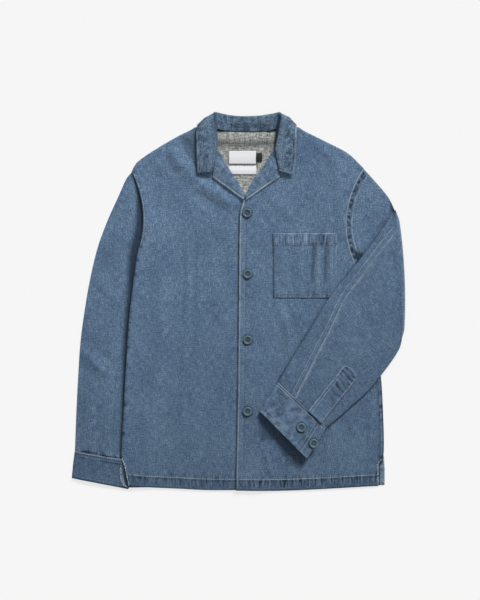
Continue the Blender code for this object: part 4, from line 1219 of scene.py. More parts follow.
def front_shades(at, seed):
    """Painted shade that both fronts have, in the hollows along the hem, the armhole, the edge and the
    side.
    """
    painted_shade_and_mottle = (0.14 + 0.20 * clamp(-at.rope)) * at.band * ease((at.hem - 4) / 3)
    painted_shade_and_mottle += 0.25 * bell(at.hem - HEM_WIDTH + 3, 2.4)
    painted_shade_and_mottle += 0.30 * bell(at.hem - 1.5, 2.2)
    above_tug = wave(at.hem_run + at.hem * 0.2, 4.5, seed + 11)
    painted_shade_and_mottle += 0.35 * bell(at.hem - HEM_WIDTH - 5, 4) * clamp(above_tug)
    ladder = noise(at.hole_run, at.hole * 0.2, 2.4, seed + 14)
    painted_shade_and_mottle += 0.95 * ease((at.seam - 1 - at.hole) / 2) * clamp(ladder * 1.6 + 0.35)
    painted_shade_and_mottle += 0.30 * bell(at.hole - at.seam - 3, 1.8) * clamp(0.2 - at.tug)
    painted_shade_and_mottle += 0.14 * bell(at.edge - 12.5, 2.2)
    painted_shade_and_mottle += 1.2 * bell(at.side - 3, 3.4) * clamp(wave(at.side_run, 5, seed + 15) - 0.2)
    return painted_shade_and_mottle


def shade_left_front(at, painted_shade_and_mottle):
    """Adds painted shade: of the side seam, the underarm, the sleeve that lies over it, and round the
    buttons.
    """
    painted_shade_and_mottle += 0.7 * inside(at.plan, UNDERARM_HOLLOW, 6)
    low_side = ease((-60 - at.y) / 40)
    painted_shade_and_mottle += 0.50 * bell(at.side - 1.0, 1.8) * low_side
    painted_shade_and_mottle += 0.30 * bell(at.side - 7.6, 1.8) * low_side
    # painted shadow along the forearm's upper edge
    under_forearm, _ = near(at.plan, [row[0] for row in SLEEVE_LEFT_OVER])
    painted_shade_and_mottle += 0.5 * bell(under_forearm, 3.0)
    # painted shadow that the cuff casts on the front
    under_cuff = np.maximum(*[inside(at.plan, corners, 12) for corners in CUFF_SHADE])
    painted_shade_and_mottle += 0.35 * under_cuff + button_shade(at.plan, FRONT_BUTTONS)


def shade_right_front(at, painted_shade_and_mottle):
    """Adds painted shade: of the collar's leaf and of the left front's edge, which lie over it."""
    painted_shade_and_mottle += 0.40 * inside(at.plan, COLLAR_SHADE, 20)
    over_edge, edge_at = near(at.plan, smooth(EDGE_LEFT, 120))
    uncovered = at.x < np.interp(at.y, *np.array(EDGE_LEFT, float).T[::-1])
    shade = np.interp(at.y, (-380, -150, 0), (0.34, 0.38, 0.52)) + 0.14 * wave(edge_at, 40, 12)
    painted_shade_and_mottle += shade * ease((4.6 - over_edge) / 2.4) * uncovered


def front_pale_lines(at, inward):
    """Edge values of a front: its edge, vent, hem stitching, armhole seam and side."""
    hole_light = np.abs(at.hole - at.seam) + (0.2 if inward < 0 else 0.8 + 1.2 * ease((160 - at.y) / 50))
    lines = [np.abs(at.edge - 1.2) - 0.2 + 0.5 * ease(-at.y / 150), at.vent + 0.1,
             stripe(at.hem - HEM_WIDTH, 5, 0.5), np.where(at.hole < 11, hole_light, NO_EDGE), at.side + 1.7]
    if inward < 0:
        lines.append(np.abs(at.side - 4.6) + 0.5 + 6 * ease((at.y + 100) / 40))
    return np.minimum.reduce(lines)


def make_front(name, sides, inner_lines, inward, creases, seed):
    """A front: rolled at the side seam and the shoulder, hemmed, with soft folds."""
    plan, lines = front_plan(sides, inner_lines, inward)
    grid = lay(plan, CLOTH, 5, SETTLE_PASSES)
    at = front_places(plan, lines, inward, seed)
    soft = front_folds(at, creases, seed)
    # the right front's side stands up over the sleeve that hangs beside it
    lifted = 5.0 * bell(at.side, 15) * ease((at.y + 330) / 160) * ease((258 - at.y) / 60)
    lifted *= inward > 0
    grid[..., 2] += np.maximum(soft, -1.0) + lifted
    # the cloth turns down over the side seam and the shoulder to meet the back
    drop = round_down(np.minimum(at.side, at.head), 4.2)
    grid[..., 2] -= (1.9 + 0.9 * lifted) * drop * (at.vent > 0.5)
    grid[..., 2] -= 0.5 * round_down(np.minimum(at.hem, at.edge), 1.6)
    grid[..., 2] = np.maximum(grid[..., 2], CLOTH / 2 + 0.1)

    wear = 0.12 * clamp(at.rope) * at.band + 0.10 * bell(at.hem - HEM_WIDTH, 3)
    wear += 0.12 * bell(at.hole, 9) * clamp(at.tug + 0.2)
    wear += 0.07 * bell(at.edge, 10)
    gather = at.band * ease((at.hem - 5) / 3) * (0.75 + 0.5 * wave(at.hem_run, 60, seed + 16))
    gather += 0.8 * at.above * clamp(0.5 + wave(at.hem_run, 45, seed + 17))
    painted_shade_and_mottle = front_shades(at, seed)
    add_shades = shade_left_front if inward < 0 else shade_right_front
    add_shades(at, painted_shade_and_mottle)
    fields = cloth_fields(plan, 0.0, front_pale_lines(at, inward), wear, painted_shade_and_mottle, gather)
    return lay_piece(name + "_cloth", grid, CLOTH, [DENIM, REVERSE], fields), lines


LAPEL_SIZE = (44, 26)                                                   # rows, columns
LAPEL_ROLL = ((0.6, -2.6), (2.6, -1.4), (1.9, 0.55), (0.8, 0.75))       # out, up


def make_lapel(name, roll, edge, gorge, inward, seed):
    """A facing turned out over the front: it rolls at the roll line and lies on the front."""
    rows, columns = LAPEL_SIZE
    start, end, head = smooth(roll, rows), smooth(edge, rows), smooth(gorge, columns)
    plan = patch(even(np.array([start[0], end[0]]), columns), head, start, end)
    x, y = plan[..., 0], plan[..., 1]
    lifted = lay(plan, DOUBLE, 3, 20)
    share = np.linspace(0, 1, rows + 1)[:, None]
    arch = 1.4 * np.sin(np.pi * np.arange(columns + 1) / columns)[None] * (0.4 + share)
    from_edge, run = near(plan, end)
    from_gorge, _ = near(plan, head)
    lifted[..., 2] += 0.6 + arch
    lifted[..., 2] += 0.45 * bell(from_edge - 1.4, 1.3) - 0.5 * bell(from_edge - 4.6, 1.2)
    lifted[..., 2] += 0.35 * noise(x, y, 13, seed, 1.4)
    lifted[..., 2] += 0.3 * bell(from_edge, 8) * wave(run, 6, seed + 1)
    turned = inward * np.minimum(1, 0.2 + share[:, 0] * 3)
    rolled = []
    for out, rise in curve(LAPEL_ROLL, 3):
        point = lifted[:, 0].copy()
        point[:, 0] += turned * out
        point[:, 2] += rise - 0.45 * (1 - share[:, 0]) * (rise > 0)
        rolled.append(point)
    grid = np.concatenate([np.array(rolled).transpose(1, 0, 2), lifted[:, 1:]], axis=1)
    blotch = 0.8 * noise(x, y, 6, seed + 2) + 0.8 * noise(x, y, 3, seed + 3)
    wear = 0.1 * bell(from_edge, 9) + 0.32 * clamp(blotch)
    painted_shade_and_mottle = 0.45 * bell(from_edge - 4.6, 1.0) + 0.36 * clamp(-blotch)
    edge_light = np.minimum.reduce([np.abs(from_edge - 1.0) - 0.2, stripe(from_edge - 6, 3, 0.5) + 0.4,
                                    from_gorge + 1.4])
    flat_fields = cloth_fields(plan, math.radians(20 * inward), edge_light, wear, painted_shade_and_mottle)
    fields = {k: np.concatenate([np.repeat(v[:, :1], len(rolled), axis=1), v[:, 1:]], axis=1)
              for k, v in flat_fields.items()}
    made = wall(name + "_cloth", grid, DOUBLE, [DENIM, REVERSE], fields)
    relief.add(lifted, DOUBLE / 2)
    pale_sewing.run(beside(end, 2.0 * inward)[2:-2], seed)
    return made, grid


LABEL_STEP = 1.5            # between the points of a label's grid


def make_label(name, left, right, bottom, top, finish, stands_up):
    """A woven label: a thin band, a little bowed."""
    columns, rows = int((right - left) / LABEL_STEP), int((top - bottom) / LABEL_STEP)
    x, y = np.meshgrid(np.linspace(left, right, columns), np.linspace(bottom, top, rows))
    plan = np.stack([x, y], -1)
    grid = lay(plan, LABEL_WALL, 3, 2)
    share = (y - bottom) / (top - bottom)
    grid[..., 2] += 0.5 + 0.7 * np.sin(np.pi * share) ** 2 + stands_up * (1 - share)
    return lay_piece(name + "_tape", grid, LABEL_WALL, [finish, finish], cloth_fields(plan))


POCKET_FOLDS = (
    ((152, 128), (146, 34), 8, -1.0),
    ((160, 126), (158, 20), 8, 0.9),
    ((176, 128), (172, 30), 7, -1.0),
    ((184, 120), (186, 30), 6, 0.8),
    ((130, 132), (126, 92), 7, 0.6),
    ((114, 134), (112, 108), 5, -0.6),
    ((90, 100), (96, 30), 12, 0.6),
)
POCKET_HEM = 24.0
POCKET_POINTS = (66, 68)    # across and up


def make_pocket():
    """The patch pocket: hemmed at its mouth, puckered where it has drawn up in the wash."""
    left, right, bottom, top = POCKET
    u, v = np.meshgrid(*[np.linspace(0, 1, count) for count in POCKET_POINTS])
    x = left + (right - left) * u + 2.0 * (v - 0.5) * (u - 0.5)
    y = bottom + (top - bottom) * v - 1.5 * np.sin(np.pi * u) * v
    plan = np.stack([x, y], -1)
    grid = lay(plan, CLOTH, 2, 2)
    from_side = np.minimum(x - x.min(), x.max() - x)
    from_foot, from_mouth = y - bottom, top - y
    border = np.minimum(from_side, from_foot)
    hem = ease((POCKET_HEM + 2 - from_mouth) / 3)
    mouth_ropes = wave(x, 6.5, 61)
    foot_ropes = wave(x, 5.0, 63) * bell(from_foot, 10)
    side_ropes = wave(y, 5.5, 64) * bell(from_side, 7)
    long_folds = ridges(plan, POCKET_FOLDS, 62)
    grid[..., 2] += 0.3 + 0.9 * ease(border / 14) + 0.6 * hem + 0.6 * mouth_ropes * hem
    grid[..., 2] += 1.5 * long_folds * ease(border / 8)
    grid[..., 2] -= 0.5 * bell(from_mouth - POCKET_HEM, 1.6)
    grid[..., 2] += 0.35 * foot_ropes + 0.3 * side_ropes
    grid[..., 2] -= 0.4 * bell(border - 3.2, 1.2)
    grid[..., 2] = np.maximum(grid[..., 2], relief.at(plan) + GAP + CLOTH / 2)
    side_light = from_side + np.where(x > (left + right) / 2, 0.9, 1.9)
    edge = np.minimum.reduce([np.abs(from_mouth - 1) + 0.3, side_light, from_foot + 0.7,
                              stripe(from_mouth - (POCKET_HEM - 1), 4, 1.0)])
    wear = 0.10 * clamp(foot_ropes + mouth_ropes * hem) + 0.14 * clamp(long_folds)
    # painted shade in the hollows of the ropes and folds, and along the pocket's left side
    painted_shade_and_mottle = 0.60 * clamp(-mouth_ropes - 0.15) * hem + 0.40 * clamp(-foot_ropes)
    painted_shade_and_mottle += 0.48 * clamp(-long_folds) + 0.45 * bell(x - left, 2.6)
    gather = 0.8 * hem * ease(from_mouth / 3) + 0.7 * bell(from_foot, 9)
    fields = cloth_fields(plan, 0.0, edge, wear, painted_shade_and_mottle, gather)
    made = lay_piece("chest_pocket_cloth", grid, CLOTH, [DENIM, REVERSE], fields)
    left, right = left + 2, right - 2
    for inset in (1.0, 7.0):
        path = [(left + inset, top - 1), (left + inset, bottom + 1 + inset),
                (right - inset, bottom + 1 + inset), (right - inset, top - 1)]
        sewing.run(join(*[even(np.array(pair, float), 30) for pair in zip(path, path[1:])]), int(inset) + 3)
    sewing.run([(left, top - POCKET_HEM), (right, top - POCKET_HEM)], 9)
    return made


# ---------------------------------------------------------------- left sleeve
FOREARM_CREASES = (
    # x, y          x, y          half width, height
    ((300, 120), (262, 40), 16, 2.0),
    ((310, 60), (286, -40), 15, 2.1),
    ((250, 60), (226, -6), 16, -2.4),
    ((236, 24), (262, -60), 18, -1.8),
    ((280, 10), (250, -90), 16, 1.5),
    ((200, 20), (170, -60), 16, 1.7),
    ((178, -40), (150, -96), 12, -1.4),
    ((150, -80), (116, -150), 11, 1.5),
    ((206, -60), (176, -120), 14, 1.2),
    ((110, -128), (98, -152), 6, 1.8),
    ((124, -140), (112, -166), 6, -1.8),
    ((136, -150), (124, -176), 6, 1.7),
    ((158, -176), (146, -198), 6, 1.5),
    ((236, -110), (214, -150), 10, -1.0),
    ((300, -60), (270, -110), 12, 1.4),
    ((316, 160), (318, 40), 9, 1.2),
)
FOREARM_SEAM = [(321, 144), (301, 120), (273, 84), (243, 44), (227, 24), (209, -4), (189, -48),
                (163, -98), (141, -142), (115, -192)]
FOREARM_TURN, UPPER_TURN = math.radians(-37), math.radians(12)
FOLD_TURNS = 8              # rings round the half turn of the fold
FOLD_LENGTH = 250           # about, for the rounding at its two ends
SLEEVE_ROWS = 190
FOREARM_STAGE = 0.8         # a ring's stage: 0 upper sleeve, 0.5 fold, 0.8 past it, 1 forearm
FOREARM_STITCHES = ((-1.6, pale_sewing), (-7.2, sewing), (-11.0, pale_sewing))      # beside its seam


def ring_layers(plan, rise, centre, normal, spread):
    """The two layers of a ring round its middle line: centre gives the line's offset."""
    middle = np.column_stack([plan + centre[:, :2], centre[:, 2]])
    lift = normal[None] * (spread * 0.5 * rise)[:, None]
    return middle + lift, middle - lift


def sleeve_left_rings(base):
    """Key rings of the left sleeve from the armhole round the fold to the cuff, with stages."""
    ground = CLOTH / 2 + FLAT_LAYERS / 2
    layers, stage = [], []
    inwards = inward_normals([row[:2] for row in SLEEVE_LEFT_UNDER])
    for row, inward in zip(SLEEVE_LEFT_UNDER, inwards):
        plan, _, rise = ring_plan(*row, inward)
        centre = np.zeros((len(plan), 3))
        centre[:, 2] = ground
        layers.append(ring_layers(plan, rise, centre, np.array([0, 0, 1.0]), FLAT_LAYERS))
        stage.append(0.0)
    for k in range(FOLD_TURNS + 1):
        start, end, bow = SLEEVE_FOLD
        end = np.array(end, float) + np.array(FOLD_DRIFT) * k / FOLD_TURNS
        turn = math.pi * k / FOLD_TURNS
        plan, share, rise = ring_plan(start, end, bow)
        centre = np.zeros((len(plan), 3))
        from_end = np.minimum(share, 1 - share) * FOLD_LENGTH
        centre[:, 0] = FOLD_RADIUS * math.sin(turn) * (0.12 + 0.88 * ease(from_end / 20))
        centre[:, 2] = ground + FOLD_RADIUS * (1 - math.cos(turn))
        normal = np.array([-math.sin(turn), 0, math.cos(turn)])
        layers.append(ring_layers(plan, rise, centre, normal, FLAT_LAYERS))
        stage.append(0.5 if k < FOLD_TURNS else FOREARM_STAGE)
    inwards = inward_normals([row[:2] for row in SLEEVE_LEFT_OVER])
    for (start, end, bow, lowest, height), inward in zip(SLEEVE_LEFT_OVER, inwards):
        plan, share, rise = ring_plan(start, end, bow, inward)
        spread = height * (0.6 + 0.4 * ease(3 * share) * ease(3 * (1 - share)))
        centre = np.zeros((len(plan), 3))
        centre[:, 2] = np.maximum(lowest, relief.at(plan, base) + GAP + CLOTH / 2) + spread / 2
        layers.append(ring_layers(plan, rise, centre, np.array([0, 0, -1.0]), spread))
        stage.append(1.0)
    return np.array(layers), stage


def sleeve_left_layers():
    """The left sleeve's two layers in even rows, laid on the front, and each row's over share."""
    base = relief.widened(5)
    layers, stage = sleeve_left_rings(base)
    together = curve(layers.transpose(0, 2, 1, 3), 14)
    together = np.concatenate([together[:, :, 0], together[:, :, 1]], axis=1)
    stage = np.interp(np.linspace(0, 1, len(together)), np.linspace(0, 1, len(stage)), stage)
    lengths = lengths_along(together.reshape(len(together), -1))
    stage = np.interp(np.linspace(0, lengths[-1], SLEEVE_ROWS + 1), lengths, stage)[:, None]
    one, two = np.split(even(together, SLEEVE_ROWS), 2, axis=1)
    over = ease((stage - FOREARM_STAGE) / (1 - FOREARM_STAGE))
    needed = relief.at(one[..., :2], base) + GAP + CLOTH / 2 - one[..., 2]
    push = np.maximum(needed, 0) * over
    for _ in range(6):
        push = np.maximum(push, blurred(push))
    one[..., 2] += push
    two[..., 2] += push
    return one, two, over


def shade_upper_sleeve(plan, low_part, wear, painted_shade_and_mottle):
    """Adds wear and painted shade to the sleeve before its fold, and gives its armhole's pale line."""
    from_hole, hole_run = near(plan, armhole(ARMHOLE_LEFT, 40))
    wear += 0.2 * bell(from_hole, 7) * clamp(wave(hole_run, 5, 85)) * low_part
    ladder = clamp(wave(hole_run, 2.6, 87) * 1.6 + 0.4)
    painted_shade_and_mottle += 0.8 * ease((6 - from_hole) / 2) * ladder * low_part
    hollows = np.maximum(inside(plan, UNDERARM_HOLLOW, 6), inside(plan, FOLD_HOLLOW, 6))
    painted_shade_and_mottle += 0.85 * hollows * low_part
    # painted shadow of the forearm's folded edge on the layer under it
    forearm_edge, _ = near(plan, [row[0] for row in SLEEVE_LEFT_OVER[:4]])
    painted_shade_and_mottle += 0.32 * bell(forearm_edge, 7) * low_part
    return np.where(from_hole < 12, np.abs(from_hole - 6.5) + 0.3, NO_EDGE)


def make_sleeve_left():
    """The left sleeve: out from the armhole, up round the fold, and back over the front."""
    one, two, over = sleeve_left_layers()
    low_part = 1 - over
    plan = two[..., :2]
    x, y = plan[..., 0], plan[..., 1]
    share = np.linspace(0, 1, plan.shape[1])[None]
    from_cuff, run = near(plan, CUFF_LEFT[0][:2])
    tug = wave(run, 6.5, 83)
    seam_line = smooth(FOREARM_SEAM, 80)
    from_seam, seam_run = near(plan, seam_line)
    seam_tug = wave(seam_run, 8, 84)
    creases = ridges(plan, FOREARM_CREASES, 71)
    creases += 1.0 * noise(x + y * 0.5, y - x * 0.5, 34, 81, 1.8) + 0.45 * noise(x, y, 14, 82, 1.4)
    creases += 1.0 * bell(from_cuff, 14) * tug
    creases += 0.7 * bell(from_seam, 3.2) - 0.5 * bell(from_seam - 6, 2.2)
    creases += 0.35 * bell(from_seam, 9) * seam_tug
    two[..., 2] += np.maximum(creases, -1.6) * (ease(share * 8) * ease((1 - share) * 8) * over)
    two[..., 2] = np.maximum(two[..., 2], CLOTH / 2 + 0.1)

    wear = (0.14 * bell(from_seam, 4.5) + 0.12 * bell(from_cuff, 8) * clamp(tug)) * over
    # painted shade in the puckers beside the seam and above the cuff, and a little all over
    painted_shade_and_mottle = (0.25 * bell(from_seam - 5, 1.8) * clamp(0.4 - seam_tug)
             + 0.4 * bell(from_cuff, 10) * clamp(-tug) + 0.07) * over
    hole_light = shade_upper_sleeve(plan, low_part, wear, painted_shade_and_mottle)
    from_second, _ = near(plan, beside(seam_line, FOREARM_STITCHES[-1][0])[:46])
    seam_light = np.minimum(np.abs(from_seam - 0.8), from_second) + 0.5
    forearm_light = np.minimum(stripe(from_cuff, 5, 0.4), seam_light)
    upper = over <= 0.5
    fields = cloth_fields(plan, FOREARM_TURN, np.where(upper, hole_light, forearm_light), wear, painted_shade_and_mottle)
    straight = cloth_fields(plan, UPPER_TURN)
    fields["cloth"] = np.where(upper[..., None], straight["cloth"], fields["cloth"])
    under_light = np.where(low_part > 0.5, hole_light, NO_EDGE)
    under_fields = cloth_fields(one[..., :2], UPPER_TURN, under_light, wear * low_part, painted_shade_and_mottle * low_part)
    relief.add(two[np.nonzero(over[:, 0] > 0.3)[0][0]:], CLOTH / 2)
    for offset, thread in FOREARM_STITCHES:
        thread.run(beside(seam_line, offset)[1:-1], int(7 - offset))
    return close_tube("sleeve_left_cloth", (one, two), (under_fields, fields), CLOTH)


CUFF_LEFT_ROWS = 30
OVERLAP_COLUMNS = 32        # of the cuff's grid, from the overlap's end to the bend
UNDERLAP_COLUMNS = 30


def cuff_stations(width, low_height):
    """The left cuff's section: share of the width and height, from the overlap to the underlap."""
    middle, top = low_height + CUFF_LAYER, low_height + 2 * CUFF_LAYER
    lip = LIP / width
    overlap = np.linspace(OVERLAP_END, BEND_START, 7)
    below = np.linspace(BEND_START, 1 - BEND_START, 7)
    underlap = np.linspace(1 - BEND_START, UNDERLAP_END, 3)
    return ([(share, top) for share in overlap]
            + [(lip, top - 0.5), (0.0, middle), (lip, low_height + 0.5)]
            + [(share, low_height) for share in below]
            + [(1 - lip * 0.7, low_height + 0.1), (1.0, (low_height + middle) / 2),
               (1 - lip * 0.7, middle - 0.1)]
            + [(share, middle) for share in underlap])


def make_cuff_left():
    """The left cuff: a strip wrapped round into a flat band, its overlap buttoned on top."""
    key_rows = []
    for start, end, low_height in CUFF_LEFT:
        start, end = np.array(start, float), np.array(end, float)
        section = curve(cuff_stations(float(np.hypot(*(end - start))), low_height), 5)
        plan = start * (1 - section[:, :1]) + end * section[:, :1]
        key_rows.append(np.column_stack([plan, section[:, 1]]))
    grid = smooth(key_rows, CUFF_LEFT_ROWS)
    rows, columns = grid.shape[:2]
    overlap = np.arange(columns)[None] < OVERLAP_COLUMNS
    plan = grid[..., :2].copy()
    x, y = plan[..., 0], plan[..., 1]
    from_seam, run = near(plan, CUFF_LEFT[0][:2])
    from_rim, _ = near(plan, CUFF_LEFT[-1][:2])
    from_lap, _ = near(plan, plan[:, 0])
    border = np.minimum(from_seam, from_rim)
    tug = wave(run, 6, 93)
    shape = 0.5 * noise(x, y, 24, 91) + 0.2 * noise(x, y, 9, 92)
    shape += 0.5 * bell(border - 1.5, 1.6) - 0.45 * bell(border - 5.5, 1.4)
    shape += 0.35 * bell(from_lap - 1.5, 1.6)
    shape += 0.35 * bell(from_seam, 9) * tug
    grid[..., 2] += shape * overlap
    edge = np.minimum.reduce([np.abs(from_seam - 0.8) + 0.3, np.abs(from_seam - 4.4) + 0.3,
                              from_rim - 0.2, np.where(overlap, from_lap + 0.2, NO_EDGE)])
    blotch = noise(x, y, 9, 97) + 0.8 * noise(x, y, 4.2, 99)
    wear = 0.12 * bell(from_seam, 5) * clamp(tug) * overlap
    wear += 0.34 * clamp(blotch) * overlap
    # painted shade in the puckers below the seam, by the seam, round the buttons and beside the overlap's
    # edge; the blotches are the cloth's own tone
    painted_shade_and_mottle = 0.3 * bell(from_seam - 8, 2.5) * clamp(-tug) * overlap
    painted_shade_and_mottle += 0.32 * clamp(-blotch) * overlap
    painted_shade_and_mottle += 0.55 * bell(from_seam - 2.2, 1.0) + button_shade(plan, CUFF_BUTTONS)
    painted_shade_and_mottle += 0.35 * bell(from_lap - 4.5, 1.5) * overlap
    fields = cloth_fields(plan, math.radians(45), edge, wear, painted_shade_and_mottle)
    made = wall("cuff_left_cloth", grid, CUFF_WALL, [DENIM, DENIM], fields,
                outward=grid - grid.mean(axis=1, keepdims=True))
    relief.add(grid[:, :OVERLAP_COLUMNS + 4], CUFF_WALL / 2)
    relief.add(grid[:, -UNDERLAP_COLUMNS:], CUFF_WALL / 2)
    for row, thread in ((2, pale_sewing), (4, sewing), (rows - 3, sewing)):
        thread.run(plan[row, 1:OVERLAP_COLUMNS], row)
    sewing.run(plan[2:-2, 2], 8)
    return made, grid


def button_shade(plan, buttons):
    """Painted shade close round the buttons, where their holes draw the cloth down."""
    shade = np.zeros(plan.shape[:-1])
    for centre in buttons:
        away = np.hypot(*(plan - np.array(centre, float)).transpose(2, 0, 1))
        shade += 0.5 * ease((13.5 - away) / 4)
    return shade


PLACKET_PUCKERS = (
    # from the rounded end, half width, how deep
    (8, 2.2, 1.4), (17, 2.4, 1.3), (26, 2.0, 1.0), (34, 2.6, 0.7), (45, 3.0, 0.7), (58, 3.0, 0.4),
    (72, 3.4, 0.3),
)
PLACKET_STEPS, PLACKET_COLUMNS = 54, 22
ROUND_END = 12.0            # over which the placket narrows to its end


def make_placket():
    """The strip over the sleeve slit: two rows of stitching and drawn-up puckers at its end."""
    middle = smooth(PLACKET_ROUTE, PLACKET_STEPS)
    ahead = unit(np.gradient(middle, axis=0))
    aside = np.stack([-ahead[:, 1], ahead[:, 0]], -1)
    run = np.linspace(0, path_length(middle), PLACKET_STEPS + 1)
    left = run[-1] - run
    round_end = np.sqrt(clamp(1 - (1 - np.minimum(left, ROUND_END) / ROUND_END) ** 2))
    width = PLACKET_HALF_WIDTH * (0.35 + 0.65 * round_end)
    share = np.linspace(1, -1, PLACKET_COLUMNS)
    plan = middle[:, None] + aside[:, None] * (width[:, None] * share[None])[..., None]
    seam_start = np.array(CUFF_LEFT[0][0])
    seam_side = unit(np.array(CUFF_LEFT[0][1]) - seam_start)[::-1] * (-1, 1)
    over_seam = (plan - seam_start) @ seam_side
    plan = plan + seam_side * ((1.0 - over_seam[:1]) * ease(1 - run[:, None] / 20))[..., None]
    grid = lay(plan, CLOTH, 2, 2)
    along = np.broadcast_to(run[:, None], plan.shape[:2])
    across = width[:, None] * share[None]
    from_border = np.minimum(width[:, None] - np.abs(across), left[:, None])
    from_top = left[:, None] + 0.25 * across + 2.0 * noise(across, along, 9, 95)
    drawn = np.zeros(plan.shape[:2])
    for place, half_width, sunk in PLACKET_PUCKERS:
        drawn += sunk * bell(from_top - place, half_width)
    drawn *= ease(from_border / 5) * np.clip(0.9 + 0.8 * noise(across + 3, along * 0.6, 11, 98), 0.2, 1.3)
    hollow = drawn - 0.5 * np.roll(drawn, 2, axis=0)
    grid[..., 2] += 1.2 - 1.5 * hollow + 0.4 * ease(from_border / 3)
    grid[..., 2] = np.maximum(grid[..., 2], relief.at(plan) + GAP + CLOTH / 2)
    inner_line = np.abs(width[:, None] - across - 6.5)
    edge_light = np.minimum(from_border + 0.6 + 0.5 * (across < 0), inner_line + 1.1)
    # painted shade in the drawn-up puckers
    fields = cloth_fields(plan, FOREARM_TURN, edge_light, 0.2 * clamp(-hollow), 0.75 * clamp(drawn))
    made = lay_piece("sleeve_placket_cloth", grid, CLOTH, [DENIM, DENIM], fields)
    for seed, row in enumerate((plan[1:-4, 1], plan[1:-10, 4], plan[1:-4, -2]), 1):
        pale_sewing.run(row, seed)
    sewing.run(plan[-5, 3:-3], 4)
    return made


# ---------------------------------------------------------------- buttons
BUTTON_PROFILE = (
    # radius, height: foot, rim, dish
    (7.4, 0.0), (8.8, 0.5), (9.1, 1.3), (8.9, 2.2), (8.2, 2.9), (7.3, 3.15), (6.4, 2.95),
    (5.8, 2.3), (5.1, 1.75), (3.7, 1.5), (1.6, 1.45),
)
DISH_RING = 7               # rings of faces outside the dish
BUTTON_SIDES = 40
BUTTON_FINISHES = [BUTTON, THREAD_MUTED, PAINTED_HOLE_SHADE, BUTTON_DISH_SHADED]
HOLE_PLACE, HOLE_RADIUS = 1.7, 0.95
BUTTON_SLOPE, BUTTON_LIFT = 0.05, 0.25      # how much it tilts, and mm above the cloth


def button_body():
    """Points and faces of a round rim with a sunk dish and four holes, and the faces' finishes."""
    turn = math.tau * np.arange(BUTTON_SIDES) / BUTTON_SIDES
    rings = [np.column_stack([r * np.cos(turn), r * np.sin(turn), np.full(BUTTON_SIDES, z)])
             for r, z in BUTTON_PROFILE]
    points = np.concatenate([np.array([[0, 0, 0.0]])] + rings + [np.array([[0, 0, 1.42]])])
    faces = []
    for k in range(BUTTON_SIDES):
        n = (k + 1) % BUTTON_SIDES
        faces.append((0, 1 + n, 1 + k))
        for r in range(len(rings) - 1):
            a, b = 1 + r * BUTTON_SIDES, 1 + (r + 1) * BUTTON_SIDES
            faces.append((a + k, a + n, b + n, b + k))
        last = 1 + (len(rings) - 1) * BUTTON_SIDES
        faces.append((last + k, last + n, last + BUTTON_SIDES))
    rim, dish = BUTTON_FINISHES.index(BUTTON), BUTTON_FINISHES.index(BUTTON_DISH_SHADED)
    kinds = ([rim] * (1 + DISH_RING) + [dish] * (len(rings) - DISH_RING)) * BUTTON_SIDES
    # the four holes are flat faces painted dark, standing for the shade in them
    far = HOLE_PLACE
    for x, y in ((-far, -far), (far, -far), (far, far), (-far, far)):
        hole = [(x + HOLE_RADIUS * math.cos(a), y + HOLE_RADIUS * math.sin(a), 1.56) for a in turn[::4]]
        faces.append(tuple(range(len(points), len(points) + len(hole))))
        points = np.concatenate([points, hole])
        kinds.append(BUTTON_FINISHES.index(PAINTED_HOLE_SHADE))
    return points, faces, kinds


def button_thread():
    """The cross of thread through a button's four holes."""
    thread = Sewing()
    ends = ((-HOLE_PLACE, 1.3), (-HOLE_PLACE * 0.8, 1.95), (HOLE_PLACE * 0.8, 2.0), (HOLE_PLACE, 1.3))
    for side in (1, -1):
        for shift in (-0.35, 0.35):
            thread.strand([(at, at * side + shift, z) for at, z in ends], 0.32)
    return thread


def make_button(name, x, y, tilt):
    """A four-hole button that lies a little tilted on the cloth, sewn on with a cross of thread."""
    points, faces, kinds = button_body()
    thread = button_thread()
    faces += [tuple(i + len(points) for i in face) for face in thread.faces]
    kinds += [BUTTON_FINISHES.index(THREAD_MUTED)] * len(thread.faces)
    points = np.concatenate([points] + thread.points)
    points[:, 2] += points[:, :2] @ (np.array([math.sin(tilt), math.cos(tilt)]) * BUTTON_SLOPE)
    points[:, 2] -= min(0, points[:, 2].min())
    foot = float(relief.at(np.array([[x, y]]), relief.widened(6))[0]) + BUTTON_LIFT
    made = make_mesh(name + "_turned", points + np.array([x, y, foot]), faces, BUTTON_FINISHES, kinds)
    made.data.set_sharp_from_angle(angle=math.radians(50))
    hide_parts(name)


HOLE_LENGTH, PURL_PITCH, PURL_RADIUS = 19, 0.75, 0.36


def buttonhole(centre, direction):
    """A worked buttonhole: purl stitches round a slit, at a plan point."""
    centre = np.array(centre)
    ahead = unit(np.array(direction, float))
    aside = np.array([-ahead[1], ahead[0]])
    count = int(HOLE_LENGTH / PURL_PITCH)
    for k in range(count + 1):
        at = centre + ahead * (k / count - 0.5) * HOLE_LENGTH
        for sign in (1, -1):
            a, b = at + aside * sign * 0.3, at + aside * sign * 1.5
            spots = np.array([a, (a + b) / 2, b])
            z = relief.at(spots) + np.array([-0.05, 0.35, 0.0])
            sewing.strand(np.column_stack([spots, z]), PURL_RADIUS)
    for sign in (1, -1):
        end = centre + ahead * sign * (HOLE_LENGTH / 2 + 0.4)
        for j in range(-2, 3):
            a, b = end + aside * (j * 0.6 - 0.3), end + aside * (j * 0.6 + 0.4)
            spots = np.array([a, (a + b) / 2, b])
            sewing.strand(np.column_stack([spots, relief.at(spots) + 0.3]), PURL_RADIUS)
    # painted shade: a dark strand along the slit
    slit = np.array([centre + ahead * HOLE_LENGTH * share for share in (-0.5, 0, 0.5)])
    slit_shade_sewing.strand(np.column_stack([slit, relief.at(slit) + 0.12]), THREAD_RADIUS)


FRAY_REACH = 3.5


